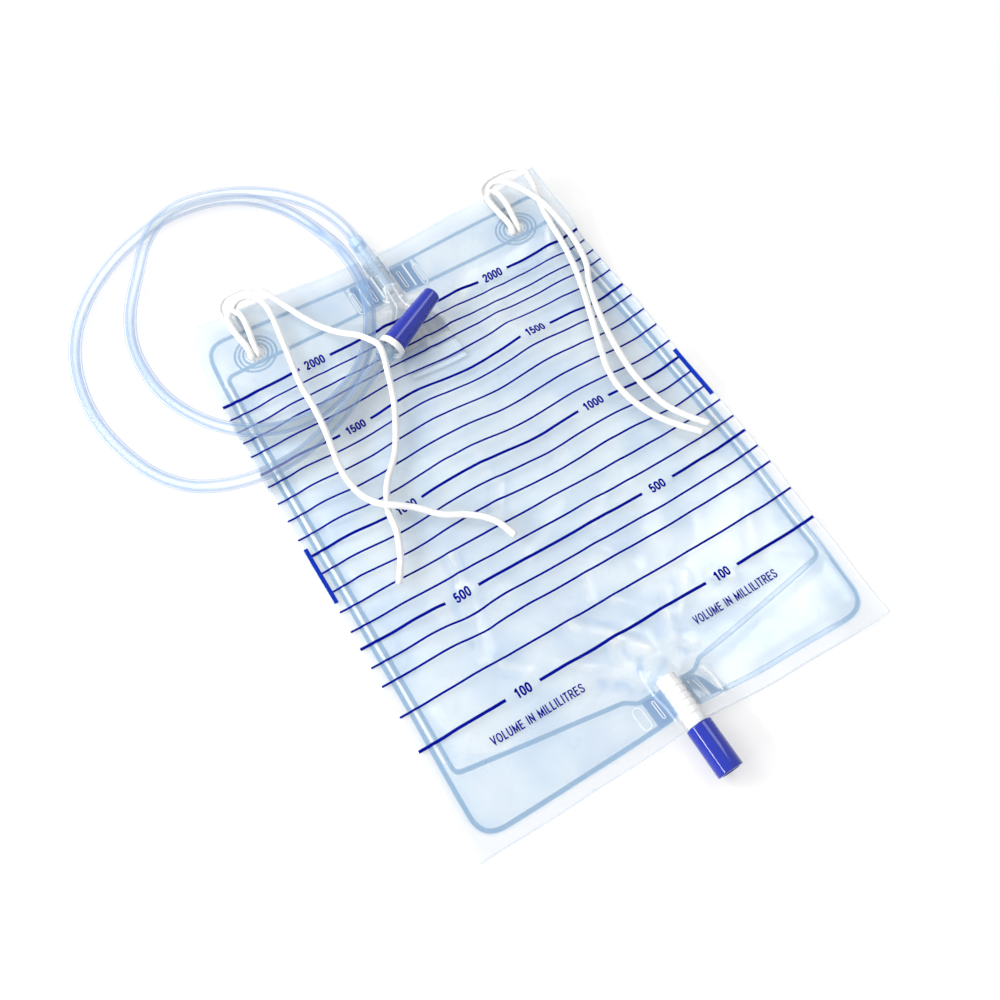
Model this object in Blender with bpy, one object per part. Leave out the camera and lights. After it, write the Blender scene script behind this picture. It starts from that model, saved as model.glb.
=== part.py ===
"""Urine drainage bag with inlet tube, flap valve, push-pull outlet and hanging cords.

The bag lies on its back: X across, Y from the outlet up to the hanging edge, Z up.
Lengths are in metres unless a comment says millimetres.
"""
import math

import bmesh
import bpy
from mathutils import Matrix, Vector
from mathutils.bvhtree import BVHTree
from mathutils.geometry import delaunay_2d_cdt

MM = 0.001

# Film sheets
BAG_WIDTH = 0.210
BAG_LENGTH = 0.298
FILM = 0.0002
WELD_GAP = 0.0004
EDGE_STEP = 0.016

# How far the outlet and the inlet stand out past the film
OUTLET_REACH = 0.0227
INLET_REACH = 0.0095

# Weld lines, measured from the film's edges to the middle of the line
WELD_WIDTH = 0.002
OUTER_WELD_TOP = 0.0135
OUTER_WELD_SIDE = 0.006
OUTER_WELD_BOTTOM = 0.0075
OUTER_WELD_RADIUS = 0.011
INNER_WELD_TOP = 0.0355
INNER_WELD_SIDE = 0.009
INNER_WELD_SHOULDER = 0.036
INNER_WELD_RADIUS = 0.004
FUNNEL_X = 0.020
FUNNEL_Y = 0.025
THROAT_X = 0.0145
THROAT_Y = 0.021
TAB_WIDTH = 0.0205

# Hanging holes and their weld rings
HOLE_PITCH = 0.155
HOLE_INSET = 0.0295
HOLE_RADIUS = 0.0045
RING_WIDTH = 0.0012
RING_PITCH = 0.002
RING_FIRST = 0.0054
RING_COUNT = 3

# Height of the sheets above the table
BAND_HEIGHT = 0.0046
RAMP_START = 0.0555
RAMP_LENGTH = 0.0176
FOOT_HEIGHT = 0.0050
FOOT_SPREAD = 0.026
FOOT_LENGTH = 0.0345
FOOT_COLUMNS = (0, 6.7, 14.5, 24, 35, 47, 64)
EDGE_CURL = 0.0013
CURL_WIDTH = 0.022
CORNER_CURL = 0.0022
CORNER_WIDTH = 0.030

# Room between the sheets
BODY_ROOM = 0.0019
BODY_SPREAD = 0.022
POCKET_ROOM = 0.0006
POCKET_SPREAD = 0.008
FOLD_LIMIT = 0.0012
FOLD_SPREAD = 0.010
VALVE_ROOM = 0.0014
VALVE_ROOM_SPREAD = 0.006

# Printed volume scale: millilitres and height of the line above the film's bottom edge
SCALE_MARKS = [
    (100, 0.0515), (200, 0.0680), (300, 0.0834), (400, 0.0930), (500, 0.1029),
    (600, 0.1123), (700, 0.1232), (800, 0.1339), (900, 0.1446), (1000, 0.1548),
    (1100, 0.1651), (1200, 0.1765), (1300, 0.1874), (1400, 0.1980), (1500, 0.2059),
    (1600, 0.2173), (1700, 0.2262), (1800, 0.2332), (1900, 0.2415), (2000, 0.2490),
]
NUMBERED = (100, 500, 1000, 1500, 2000)
THIN_LINE = 0.0009
THICK_LINE = 0.0013
LINE_INSET = 0.0004
NUMBER_X_LEFT = -0.056
NUMBER_X_RIGHT = 0.0505
NUMBER_GAP = 0.017
PRINT_STEP = 0.038
BAR_WIDTH = 0.0021
BAR_TOP = 0.1595
BAR_BOTTOM = 0.1280

# Folds in the front sheet, in millimetres: x, y at each end, height, half width.
# y runs up from the film's bottom edge.
FOLDS = [
    (-23, 220, -5, 154, 1.0, 10), (46, 214, 50, 158, 0.8, 8), (72, 205, 66, 140, 0.7, 9),
    (-3, 184, -24, 143, 0.8, 6), (27, 143, -2, 112, 0.9, 6), (-44, 118, -59, 70, 1.0, 6),
    (-6, 34, -16, 86, 1.0, 6), (4, 34, 9, 76, 1.1, 5), (8, 36, 33, 74, 0.9, 6),
    (-9, 37, -42, 66, 0.8, 6), (-80, 192, -92, 150, 0.7, 8), (-75, 96, -62, 56, 0.6, 7),
    (88, 118, 76, 60, 0.8, 8), (22, 236, 48, 222, 0.8, 7), (-30, 160, -46, 128, 0.7, 7),
    (56, 108, 34, 84, 0.7, 7),
]

# Inlet port: a ribbed spigot welded between the sheets at the top edge
PORT_LENGTH = 0.0395
PORT_AXIS_HEIGHT = 0.0059
PORT_RADIUS = 0.0043
PORT_RIB_RADIUS = 0.0050
PORT_RIB_COUNT = 4
PORT_RIB_PITCH = 0.0034
PORT_RIB_WIDTH = 0.0016
PORT_RIB_START = 0.0185
PORT_BORE = 0.0022
SOCKET_DEPTH = 0.0062
PORT_CLEARANCE = 0.0006
PORT_FADE = 0.013

# Inlet tube and the soft fit of its ends
TUBE_RADIUS = 0.00325
TUBE_POINTS = 66
SEAT = 0.0003

# Flap valve
VALVE_WIDTH = 0.031
VALVE_LENGTH = 0.054
VALVE_NECK = 0.0092
VALVE_STRAIGHT = 0.010
VALVE_FLARE = 0.018
VALVE_FILM = 0.00015
LEAF_GAP = 0.0004
LEAF_PART = 0.42

# Outlet: ribbed spout, plug tip with two seals, sliding sleeve
SPOUT_AXIS_HEIGHT = 0.0063
SPOUT_LENGTH = 0.0237
SPOUT_RADIUS = 0.0046
SPOUT_RIB_RADIUS = 0.0050
SPOUT_RIB_COUNT = 5
SPOUT_RIB_PITCH = 0.0032
SPOUT_RIB_START = 0.0035
SPOUT_BORE = 0.0026
NECK_RADIUS = 0.0036
NECK_BORE = 0.0016
NECK_LENGTH = 0.0177
LAND_RADIUS = 0.0042
LAND_START = 0.0076
LAND_LENGTH = 0.0036
TIP_LAND_LENGTH = 0.0032
SEAL_WIDTH = 0.0014
SEAL_DEPTH = 0.0009
REAR_SEAL_RADIUS = 0.0044
TIP_SEAL_RADIUS = 0.0039
WINDOW_WIDTH = 0.0022
WINDOW_LENGTH = 0.0026
SLEEVE_LENGTH = 0.0222
SLEEVE_RADIUS = 0.0060
SLEEVE_BORE = 0.0047
SLEEVE_MOUTH = 0.0042
SLEEVE_STEP = 0.0132
SLEEVE_EDGE = 0.0005

# Connector on the tube's free end, and its pull-off cap
CONNECTOR_PLACE = (-0.0167, 0.0900, 0.0117)
CONNECTOR_TURN = 27.0
CONNECTOR_RISE = 3.0
FLANGE_RADIUS = 0.0070
FLANGE_THICKNESS = 0.0014
FLANGE_RIM = 0.0011
FLANGE_CUP = 0.0016
HUB_RADIUS = 0.0046
HUB_LENGTH = 0.0095
HUB_BORE_DEPTH = 0.0065
NOZZLE_LENGTH = 0.0320
NOZZLE_ROOT = 0.0040
NOZZLE_TIP = 0.0026
NOZZLE_BARBS = 3
NOZZLE_BORE = 0.0017
CAP_LENGTH = 0.0360
CAP_BASE_RADIUS = 0.0062
CAP_TIP_RADIUS = 0.0045
CAP_WALL = 0.0014
CAP_ROUND = 0.0012

# Hanging cords
CORD_RADIUS = 0.0016
CORD_POINTS = 70

# Middle of the object without its cords is at Y = 0
HALF_SPAN = (BAG_LENGTH + OUTLET_REACH + INLET_REACH) / 2
BOTTOM = OUTLET_REACH - HALF_SPAN
TOP = BOTTOM + BAG_LENGTH
HALF_WIDTH = BAG_WIDTH / 2
PORT_END = HALF_SPAN - PORT_LENGTH
SPOUT_END = -HALF_SPAN + SLEEVE_LENGTH + SEAT
SPOUT_INNER = SPOUT_END + SPOUT_LENGTH
HOLES = [(side * HOLE_PITCH / 2, TOP - HOLE_INSET) for side in (-1, 1)]

# Route of the tube from the inlet port round two loops to the connector, in millimetres
TUBE_ROUTE = [
    (0, 159.2, 5.9), (0, 165, 5.9), (0, 171.5, 5.95), (-0.9, 177, 6.7), (-3.2, 184.5, 8.0),
    (-7, 193, 9.4), (-12.5, 201.5, 10.3), (-23, 213.5, 10.6), (-38, 224.5, 10.6),
    (-54.5, 231.5, 10.6), (-70, 234, 10.6), (-83, 231.5, 10.3), (-95, 223.5, 8.6),
    (-109.5, 205, 5.2), (-121.5, 186, 3.8), (-127.8, 167, 3.6), (-129, 148, 3.6),
    (-126.3, 128, 4.2), (-118.5, 108, 6.0), (-105.5, 90, 7.8), (-88.5, 79.2, 8.0),
    (-69.5, 75.8, 8.0), (-51, 80.6, 8.0), (-33, 92.5, 8.0), (-19.8, 110, 8.8),
    (-12.6, 129, 10.4), (-10.4, 148, 10.6), (-11.0, 164, 9.2), (-12.4, 177, 5.6),
    (-15.2, 190, 3.9), (-22.5, 208, 3.6), (-35, 224, 3.6), (-50, 233.5, 3.6),
    (-66, 237.3, 3.6), (-82, 237, 3.6), (-99, 232, 3.6), (-117, 223, 3.6),
    (-135, 208.5, 3.6), (-148.5, 191, 3.6), (-157, 171, 3.6), (-160.5, 150, 3.6),
    (-160, 129, 3.6), (-155, 107, 3.6), (-147, 88.5, 3.6), (-136, 74.5, 4.4),
    (-122.5, 65.2, 6.4), (-105.5, 59.6, 8.0), (-88.5, 59.4, 8.0), (-73.5, 62.8, 8.0),
    (-59.5, 68, 8.2), (-48, 73.6, 9.2), (-38, 79, 10.4), (-31, 82.72, 10.86),
    (-25.6, 85.47, 11.18), (-19.64, 88.5, 11.53),
]

# Routes of the hanging cords, in millimetres, from one tail's end over the top edge, through
# the hole, round the loop on the front, back through the hole and down the other tail
LEFT_CORD_ROUTE = [
    (-18.8, -29, 6.1), (-22.7, -18, 6.1), (-30.8, -9.5, 6.1), (-41.6, -2.7, 6.1),
    (-51, 6.6, 7.4), (-58.5, 11.4, 9.5), (-65, 16.5, 9.9), (-69.4, 26, 7.6), (-71, 38, 6.1),
    (-70.6, 47, 7.4), (-69.6, 54, 10.8), (-68.6, 61, 13.4), (-67.8, 69, 13.6),
    (-67.3, 77, 13.6), (-66.9, 85, 11.0), (-66.4, 93, 7.2), (-65.3, 103, 6.6),
    (-63.7, 114, 8.4), (-62.2, 126, 8.9), (-60.8, 136, 9.2), (-60.4, 146, 10.4),
    (-62.6, 152.8, 11.6), (-67.3, 157.6, 10.8), (-72, 159.4, 8.2), (-75.0, 159.0, 4.8),
    (-75.9, 155.4, 2.3), (-75.9, 148, 2.1), (-75.8, 138, 2.1), (-75.7, 130.5, 2.1),
    (-75.7, 127, 3.3), (-75.7, 125.4, 5.0), (-75.7, 127, 6.7), (-75.6, 130.8, 8.0),
    (-74.4, 138, 8.1), (-73.6, 146, 8.1), (-74.1, 151.6, 8.2), (-77.1, 154.4, 8.3),
    (-80.3, 151.6, 8.2), (-80.9, 146, 8.1), (-80.4, 138, 8.1), (-79.4, 130.8, 8.0),
    (-79.3, 127, 6.7), (-79.3, 125.4, 5.0), (-79.3, 127, 3.3), (-79.5, 130.5, 2.1),
    (-80.2, 138, 2.1), (-81, 148, 2.0), (-81.5, 155, 2.0), (-81.8, 160, 2.4), (-80.8, 163.4, 4.8),
    (-77.2, 164.6, 8.6), (-71.5, 163, 11.8), (-64.8, 160.8, 13.4), (-59, 156, 12.8),
    (-55.4, 150, 11.0), (-51.5, 142, 9.2), (-47.5, 132, 9.0), (-42.5, 122, 8.8),
    (-35.5, 111.5, 10.2), (-29.6, 103, 13.6), (-26.2, 96, 15.6), (-24.6, 89.5, 17.8),
    (-25.2, 83.5, 17.8), (-27.4, 75.5, 13.2), (-30.4, 66, 7.8), (-35, 55.5, 6.1),
    (-45, 37.6, 6.1), (-55.8, 25.2, 6.1), (-61.9, 13.2, 6.1), (-63.8, 1.5, 6.1),
    (-69.1, -12.2, 6.1), (-75.3, -22, 6.1),
]
RIGHT_CORD_ROUTE = [
    (92.1, -27.5, 6.1), (85.5, -18, 6.1), (80.2, -7, 6.1), (77.8, 12.5, 6.1),
    (79, 29, 6.1), (83.8, 54, 6.1), (90, 73, 6.1), (96.8, 86.5, 6.1), (99.8, 101, 6.6),
    (99.4, 115, 9.4), (96.8, 128, 12.9), (93.8, 139, 12.8), (90.4, 148, 12.4),
    (86.6, 154.8, 11.8), (83.0, 159, 9.2), (80.4, 159.6, 5.6), (79.3, 156.2, 2.6),
    (79.2, 148, 2.1), (79.2, 138, 2.1), (79.2, 130.5, 2.1), (79.3, 127, 3.3),
    (79.3, 125.4, 5.0), (79.3, 127, 6.7), (79.5, 130.8, 8.0), (81, 138, 8.1),
    (81.9, 146, 8.1), (81.3, 151.6, 8.2), (78.2, 154.4, 8.3), (75.0, 151.6, 8.2),
    (74.6, 146, 8.1), (75, 138, 8.1), (75.6, 130.8, 8.0), (75.7, 127, 6.7),
    (75.7, 125.4, 5.0), (75.7, 127, 3.3), (75.6, 130.5, 2.1), (75.3, 138, 2.1),
    (75, 148, 2.1), (75.2, 156, 2.1), (76.8, 162.6, 2.1), (81.2, 166.6, 2.4),
    (87.5, 168, 3.6), (94, 165.8, 6.6), (98.6, 161.4, 10.2), (100.8, 155.2, 12.2),
    (100.6, 146.5, 11.2), (98.4, 137, 9.2), (95.9, 126.5, 8.9), (94.6, 117, 8.2),
    (93.8, 106, 6.6), (90.8, 90, 6.1), (85.6, 72.6, 6.1), (79.6, 56, 6.1), (72.8, 37.5, 6.1),
    (68.3, 23.5, 6.1), (67.3, 9.5, 6.1), (71.5, -7.5, 6.1), (79.5, -21, 6.1),
    (86.5, -29.5, 6.1),
]


def clear_scene():
    for item in list(bpy.data.objects):
        bpy.data.objects.remove(item, do_unlink=True)


def material(name, color, roughness, alpha=1.0, metallic=0.0):
    """A Principled material; its colour is given as the eye sees it on screen."""
    linear = [channel ** 2.2 for channel in color]
    result = bpy.data.materials.new(name)
    result.use_nodes = True
    shader = result.node_tree.nodes["Principled BSDF"]
    shader.inputs["Base Color"].default_value = (*linear, 1.0)
    shader.inputs["Roughness"].default_value = roughness
    shader.inputs["Metallic"].default_value = metallic
    shader.inputs["Alpha"].default_value = alpha
    result.diffuse_color = (*linear, alpha)
    return result


def add_object(name, mesh, materials, smooth_angle=40.0):
    for item in materials:
        mesh.materials.append(item)
    mesh.shade_smooth()
    mesh.set_sharp_from_angle(angle=math.radians(smooth_angle))
    result = bpy.data.objects.new(name, mesh)
    bpy.context.scene.collection.objects.link(result)
    return result


def smooth_step(value):
    value = min(max(value, 0.0), 1.0)
    return value * value * (3 - 2 * value)


# Outlines on the sheet

def rounded_loop(corners, offset, radius):
    """Points of a clockwise polygon moved outward by offset, its corners rounded."""
    count = len(corners)
    moved = []
    for index in range(count):
        before, here, after = (Vector(corners[(index + k) % count]) for k in (-1, 0, 1))
        into, away = (here - before).normalized(), (after - here).normalized()
        normal_in, normal_out = Vector((-into.y, into.x)), Vector((-away.y, away.x))
        middle = (normal_in + normal_out).normalized()
        moved.append(here + middle * (offset / middle.dot(normal_in)))
    points = []
    for index in range(count):
        before, here, after = (moved[(index + k) % count] for k in (-1, 0, 1))
        into, away = (before - here).normalized(), (after - here).normalized()
        half = into.angle(away) / 2
        back = min(radius / math.tan(half), (before - here).length / 3, (after - here).length / 3)
        start, end = here + into * back, here + away * back
        steps = 3 if back > 0.002 else 1
        for step in range(steps + 1):
            share = step / steps
            bend = start.lerp(here, share).lerp(here.lerp(end, share), share)
            points.append((bend.x, bend.y))
    return points


def outer_weld(offset=0.0):
    side = HALF_WIDTH - OUTER_WELD_SIDE
    top, bottom = TOP - OUTER_WELD_TOP, BOTTOM + OUTER_WELD_BOTTOM
    corners = [(-side, top), (side, top), (side, bottom), (-side, bottom)]
    return rounded_loop(corners, offset, OUTER_WELD_RADIUS + offset)


def inner_weld(offset=0.0):
    side = HALF_WIDTH - INNER_WELD_SIDE
    top, shoulder = TOP - INNER_WELD_TOP, BOTTOM + INNER_WELD_SHOULDER
    funnel, throat = (FUNNEL_X, BOTTOM + FUNNEL_Y), (THROAT_X, BOTTOM + THROAT_Y)
    right = [(side, top), (side, shoulder), funnel, throat]
    left = [(-x, y) for x, y in reversed(right)]
    return rounded_loop(right + left, offset, INNER_WELD_RADIUS + offset)


def split_line(start, end, step):
    start, end = Vector(start), Vector(end)
    count = max(1, round((end - start).length / step))
    return [tuple(start.lerp(end, k / count)) for k in range(count + 1)]


def box_loop(left, right, bottom, top, step):
    corners = [(left, bottom), (right, bottom), (right, top), (left, top), (left, bottom)]
    points = []
    for start, end in zip(corners, corners[1:]):
        points += split_line(start, end, step)[:-1]
    return points


def circle_loop(middle, radius, count):
    turns = [2 * math.pi * k / count for k in range(count)]
    return [(middle[0] + radius * math.cos(t), middle[1] + radius * math.sin(t)) for t in turns]


def print_boxes():
    """The printed scale lines and the two side bars: left, right, bottom, top, ink number."""
    edge = HALF_WIDTH - LINE_INSET
    boxes = []
    for volume, height in SCALE_MARKS:
        middle = BOTTOM + height
        if volume in NUMBERED:
            stops = [-edge]
            for number_x in (NUMBER_X_LEFT, NUMBER_X_RIGHT):
                stops += [number_x - NUMBER_GAP / 2, number_x + NUMBER_GAP / 2]
            stops.append(edge)
            spans, half = list(zip(stops[0::2], stops[1::2])), THICK_LINE / 2
        else:
            spans, half = [(-edge, edge)], THIN_LINE / 2
        boxes += [(left, right, middle - half, middle + half, 2) for left, right in spans]
    for side in (-1, 1):
        outer, inner = side * edge, side * (edge - BAR_WIDTH)
        ends = sorted((outer, inner))
        boxes.append((*ends, BOTTOM + BAR_BOTTOM, BOTTOM + BAR_TOP, 3))
    return boxes


def tab_boxes():
    """The welded tabs beside the inlet port and beside the spout."""
    half = WELD_WIDTH / 2
    top = (TOP - INNER_WELD_TOP + half, TOP - OUTER_WELD_TOP + half)
    bottom = (BOTTOM + OUTER_WELD_BOTTOM - half, BOTTOM + THROAT_Y - half)
    boxes = []
    for low, high in (top, bottom):
        for side in (-1, 1):
            ends = sorted((side * (PORT_RIB_RADIUS + PORT_CLEARANCE), side * TAB_WIDTH))
            boxes.append((*ends, low, high))
    return boxes


# Distances from a point to the weld lines

def distance_to_loop(point, loop):
    best = 1.0
    here = Vector(point)
    for start, end in zip(loop, loop[1:] + loop[:1]):
        start, end = Vector(start), Vector(end)
        along = end - start
        if along.length_squared < 1e-14:
            continue
        share = min(max((here - start).dot(along) / along.length_squared, 0.0), 1.0)
        best = min(best, (here - start - along * share).length)
    return best


def inside_loop(point, loop):
    x, y = point
    inside = False
    for (x0, y0), (x1, y1) in zip(loop, loop[1:] + loop[:1]):
        if (y0 > y) != (y1 > y) and x < x0 + (y - y0) * (x1 - x0) / (y1 - y0):
            inside = not inside
    return inside


def inside_box(point, box, grow=0.0):
    x, y = point
    return box[0] - grow <= x <= box[1] + grow and box[2] - grow <= y <= box[3] + grow


def distance_to_box(point, box):
    dx = max(box[0] - point[0], 0.0, point[0] - box[1])
    dy = max(box[2] - point[1], 0.0, point[1] - box[3])
    return math.hypot(dx, dy)


# Heights of the two sheets

def row_share(way, length):
    """Smooth rise from 0 to 1 along length, straight between its quarter marks."""
    quarter = min(max(4 * way / length, 0.0), 4.0)
    low = min(int(quarter), 3)
    start, end = smooth_step(low / 4), smooth_step((low + 1) / 4)
    return start + (end - start) * (quarter - low)


def foot_share(x):
    """Bell shape across the outlet, straight between the columns."""
    for start, end in zip(FOOT_COLUMNS, FOOT_COLUMNS[1:]):
        start, end = start * MM, end * MM
        if x <= end:
            low, high = (math.exp(-((at / FOOT_SPREAD) ** 2)) for at in (start, end))
            high = 0.0 if end == FOOT_COLUMNS[-1] * MM else high
            return low + (high - low) * (x - start) / (end - start)
    return 0.0


def lying_height(x, y):
    """Underside of the rear sheet where no port passes."""
    band = BAND_HEIGHT * row_share(y - (TOP - RAMP_START), RAMP_LENGTH)
    foot = FOOT_HEIGHT * foot_share(abs(x)) * row_share(BOTTOM + FOOT_LENGTH - y, FOOT_LENGTH)
    side = max(0.0, 1 - (HALF_WIDTH - x) / CURL_WIDTH)
    height = band + foot + EDGE_CURL * side * side
    for corner_x, corner_y in ((-HALF_WIDTH, TOP), (HALF_WIDTH, TOP), (HALF_WIDTH, BOTTOM)):
        near = max(0.0, 1 - math.hypot(x - corner_x, y - corner_y) / CORNER_WIDTH)
        height += CORNER_CURL * near * near
    return height


def port_reach(y):
    """How fully the sheets are held open round the inlet port and the spout at y."""
    inlet = smooth_step(1 - (PORT_END - y) / PORT_FADE)
    outlet = smooth_step(1 - (y - SPOUT_INNER) / PORT_FADE)
    return inlet, outlet


def wrap(x, y):
    """Axis height, half height of the opening and its share, for the nearer port."""
    inlet, outlet = port_reach(y)
    if inlet >= outlet:
        axis, radius, share = PORT_AXIS_HEIGHT, PORT_RIB_RADIUS + PORT_CLEARANCE, inlet
    else:
        axis, radius, share = SPOUT_AXIS_HEIGHT, SPOUT_RIB_RADIUS + PORT_CLEARANCE, outlet
    half = math.sqrt(max(0.0, radius * radius - x * x))
    return axis, half, share if abs(x) < radius + 1e-6 else 0.0


def rear_under(x, y):
    """Underside of the rear sheet."""
    lying = lying_height(x, y)
    axis, half, share = wrap(x, y)
    return lying + (min(lying, axis - half - FILM) - lying) * share


def fold_height(x, y):
    total = 0.0
    for x0, y0, x1, y1, height, width in FOLDS:
        start = Vector((x0 * MM, BOTTOM + y0 * MM))
        along = Vector((x1 * MM, BOTTOM + y1 * MM)) - start
        share = (Vector((x, y)) - start).dot(along) / along.length_squared
        across = (Vector((x, y)) - start - along * share).length / (width * MM)
        ends = smooth_step(share / 0.3) * smooth_step((1 - share) / 0.3)
        total += height * MM * math.exp(-across * across) * ends
    return min(total, FOLD_LIMIT)


class Welds:
    """The weld lines, worked out once."""

    def __init__(self):
        self.outer = outer_weld()
        self.inner = inner_weld()
        self.tabs = tab_boxes()
        self.ring = RING_FIRST + RING_PITCH * (RING_COUNT - 1) + RING_WIDTH

    def distance(self, x, y):
        half = WELD_WIDTH / 2
        found = [distance_to_loop((x, y), self.outer) - half]
        found.append(distance_to_loop((x, y), self.inner) - half)
        found += [distance_to_box((x, y), tab) for tab in self.tabs]
        found += [math.hypot(x - hx, y - hy) - self.ring for hx, hy in HOLES]
        return max(0.0, min(found))

    def room(self, x, y):
        """Space between the sheets."""
        far = self.distance(x, y)
        if not inside_loop((x, y), self.inner):
            return WELD_GAP + POCKET_ROOM * smooth_step(far / POCKET_SPREAD)
        body = BODY_ROOM * smooth_step(far / BODY_SPREAD)
        beside = smooth_step((0.6 * VALVE_WIDTH - abs(x)) / (VALVE_WIDTH / 8))
        above = smooth_step((y - (PORT_END - VALVE_LENGTH - 0.006)) / 0.006)
        valve = VALVE_ROOM * smooth_step(far / VALVE_ROOM_SPREAD) * beside * above
        return WELD_GAP + max(body, valve) + fold_height(x, y) * smooth_step(far / FOLD_SPREAD)

    def front_under(self, x, y):
        """Underside of the front sheet."""
        lying = lying_height(x, y) + FILM + self.room(x, y)
        axis, half, share = wrap(x, y)
        return lying + (max(lying, axis + half) - lying) * share


# Triangulated sheets

class SheetPlan:
    """Outlines and points that a sheet's triangles have to follow."""

    def __init__(self):
        self.points = []
        self.edges = []

    def line(self, points, closed=False):
        first = len(self.points)
        self.points += [Vector(point) for point in points]
        last = len(self.points) - 1
        self.edges += [(k, k + 1) for k in range(first, last)]
        if closed:
            self.edges.append((last, first))

    def scatter(self, step):
        """Fill the free places with a staggered grid of points."""
        taken = {}
        for point in self.points:
            taken.setdefault((int(point.x // step), int(point.y // step)), []).append(point)
        rows = int(BAG_LENGTH / (step * 0.87))
        for row in range(1, rows):
            y = BOTTOM + BAG_LENGTH * row / rows
            count = int(BAG_WIDTH / step)
            for column in range(count):
                x = -HALF_WIDTH + BAG_WIDTH * (column + 0.5 + 0.25 * (-1) ** row) / count
                cell = (int(x // step), int(y // step))
                near = [p for i in (-1, 0, 1) for j in (-1, 0, 1)
                        for p in taken.get((cell[0] + i, cell[1] + j), [])]
                if all((p - Vector((x, y))).length > 0.55 * step for p in near):
                    self.points.append(Vector((x, y)))


def skeleton(plan):
    """What both sheets share, so that they keep their distance where they are welded."""
    plan.line(box_loop(-HALF_WIDTH, HALF_WIDTH, BOTTOM, TOP, EDGE_STEP), closed=True)
    for hole in HOLES:
        plan.line(circle_loop(hole, HOLE_RADIUS, 12), closed=True)
    radius = PORT_RIB_RADIUS + PORT_CLEARANCE
    for share in (-1.2, -1, -0.8, -0.42, 0, 0.42, 0.8, 1, 1.2):
        x = share * radius
        plan.line(split_line((x, PORT_END - PORT_FADE), (x, TOP), 0.0095))
        plan.line(split_line((x, BOTTOM), (x, SPOUT_INNER + PORT_FADE), 0.0095))
    for column in FOOT_COLUMNS[2:]:
        for side in (-1, 1):
            x = side * column * MM
            plan.line([(x, BOTTOM), (x, BOTTOM + FOOT_LENGTH)])
    for row in range(5):
        y = TOP - RAMP_START + RAMP_LENGTH * row / 4
        plan.line(split_line((-HALF_WIDTH, y), (HALF_WIDTH, y), 0.021))
    reach = FOOT_COLUMNS[-1] * MM
    for row in range(1, 5):
        y = BOTTOM + FOOT_LENGTH * row / 4
        plan.line([(-reach, y), (reach, y)])


def triangulate(plan):
    """Points and triangles of the sheet, with the holes left out."""
    verts, _, faces, _, _, _ = delaunay_2d_cdt(plan.points, plan.edges, [], 0, 1e-6)
    kept = []
    for face in faces:
        a, b, c = (verts[k] for k in face)
        middle = (a + b + c) / 3
        longest = max((b - a).length, (c - b).length, (a - c).length)
        flat = abs((b - a).cross(c - a)) < 2e-6 * longest
        if not flat and all((middle - Vector(hole)).length > HOLE_RADIUS for hole in HOLES):
            kept.append(face)
    return verts, kept


def sheet_mesh(name, plan, under, thickness, paint=None):
    """A closed sheet: its underside follows under(x, y), its top lies thickness above."""
    verts, faces = triangulate(plan)
    mesh = bpy.data.meshes.new(name)
    bm = bmesh.new()
    heights = [under(v.x, v.y) for v in verts]
    low = [bm.verts.new((v.x, v.y, z)) for v, z in zip(verts, heights)]
    high = [bm.verts.new((v.x, v.y, z + thickness)) for v, z in zip(verts, heights)]
    for face in faces:
        top = bm.faces.new([high[k] for k in face])
        bottom = bm.faces.new([low[k] for k in reversed(face)])
        if paint:
            middle = sum((verts[k] for k in face), Vector((0, 0))) / len(face)
            top.material_index = bottom.material_index = paint(middle)
    twin = {upper: lower for upper, lower in zip(high, low)}
    rims = [e for e in bm.edges if len(e.link_faces) == 1 and e.verts[0] in twin and e.verts[1] in twin]
    for edge in rims:
        a, b = edge.verts
        bm.faces.new([a, b, twin[b], twin[a]])
    bmesh.ops.delete(bm, geom=[v for v in bm.verts if not v.link_faces], context="VERTS")
    bmesh.ops.recalc_face_normals(bm, faces=bm.faces)
    bm.to_mesh(mesh)
    bm.free()
    return mesh


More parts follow.
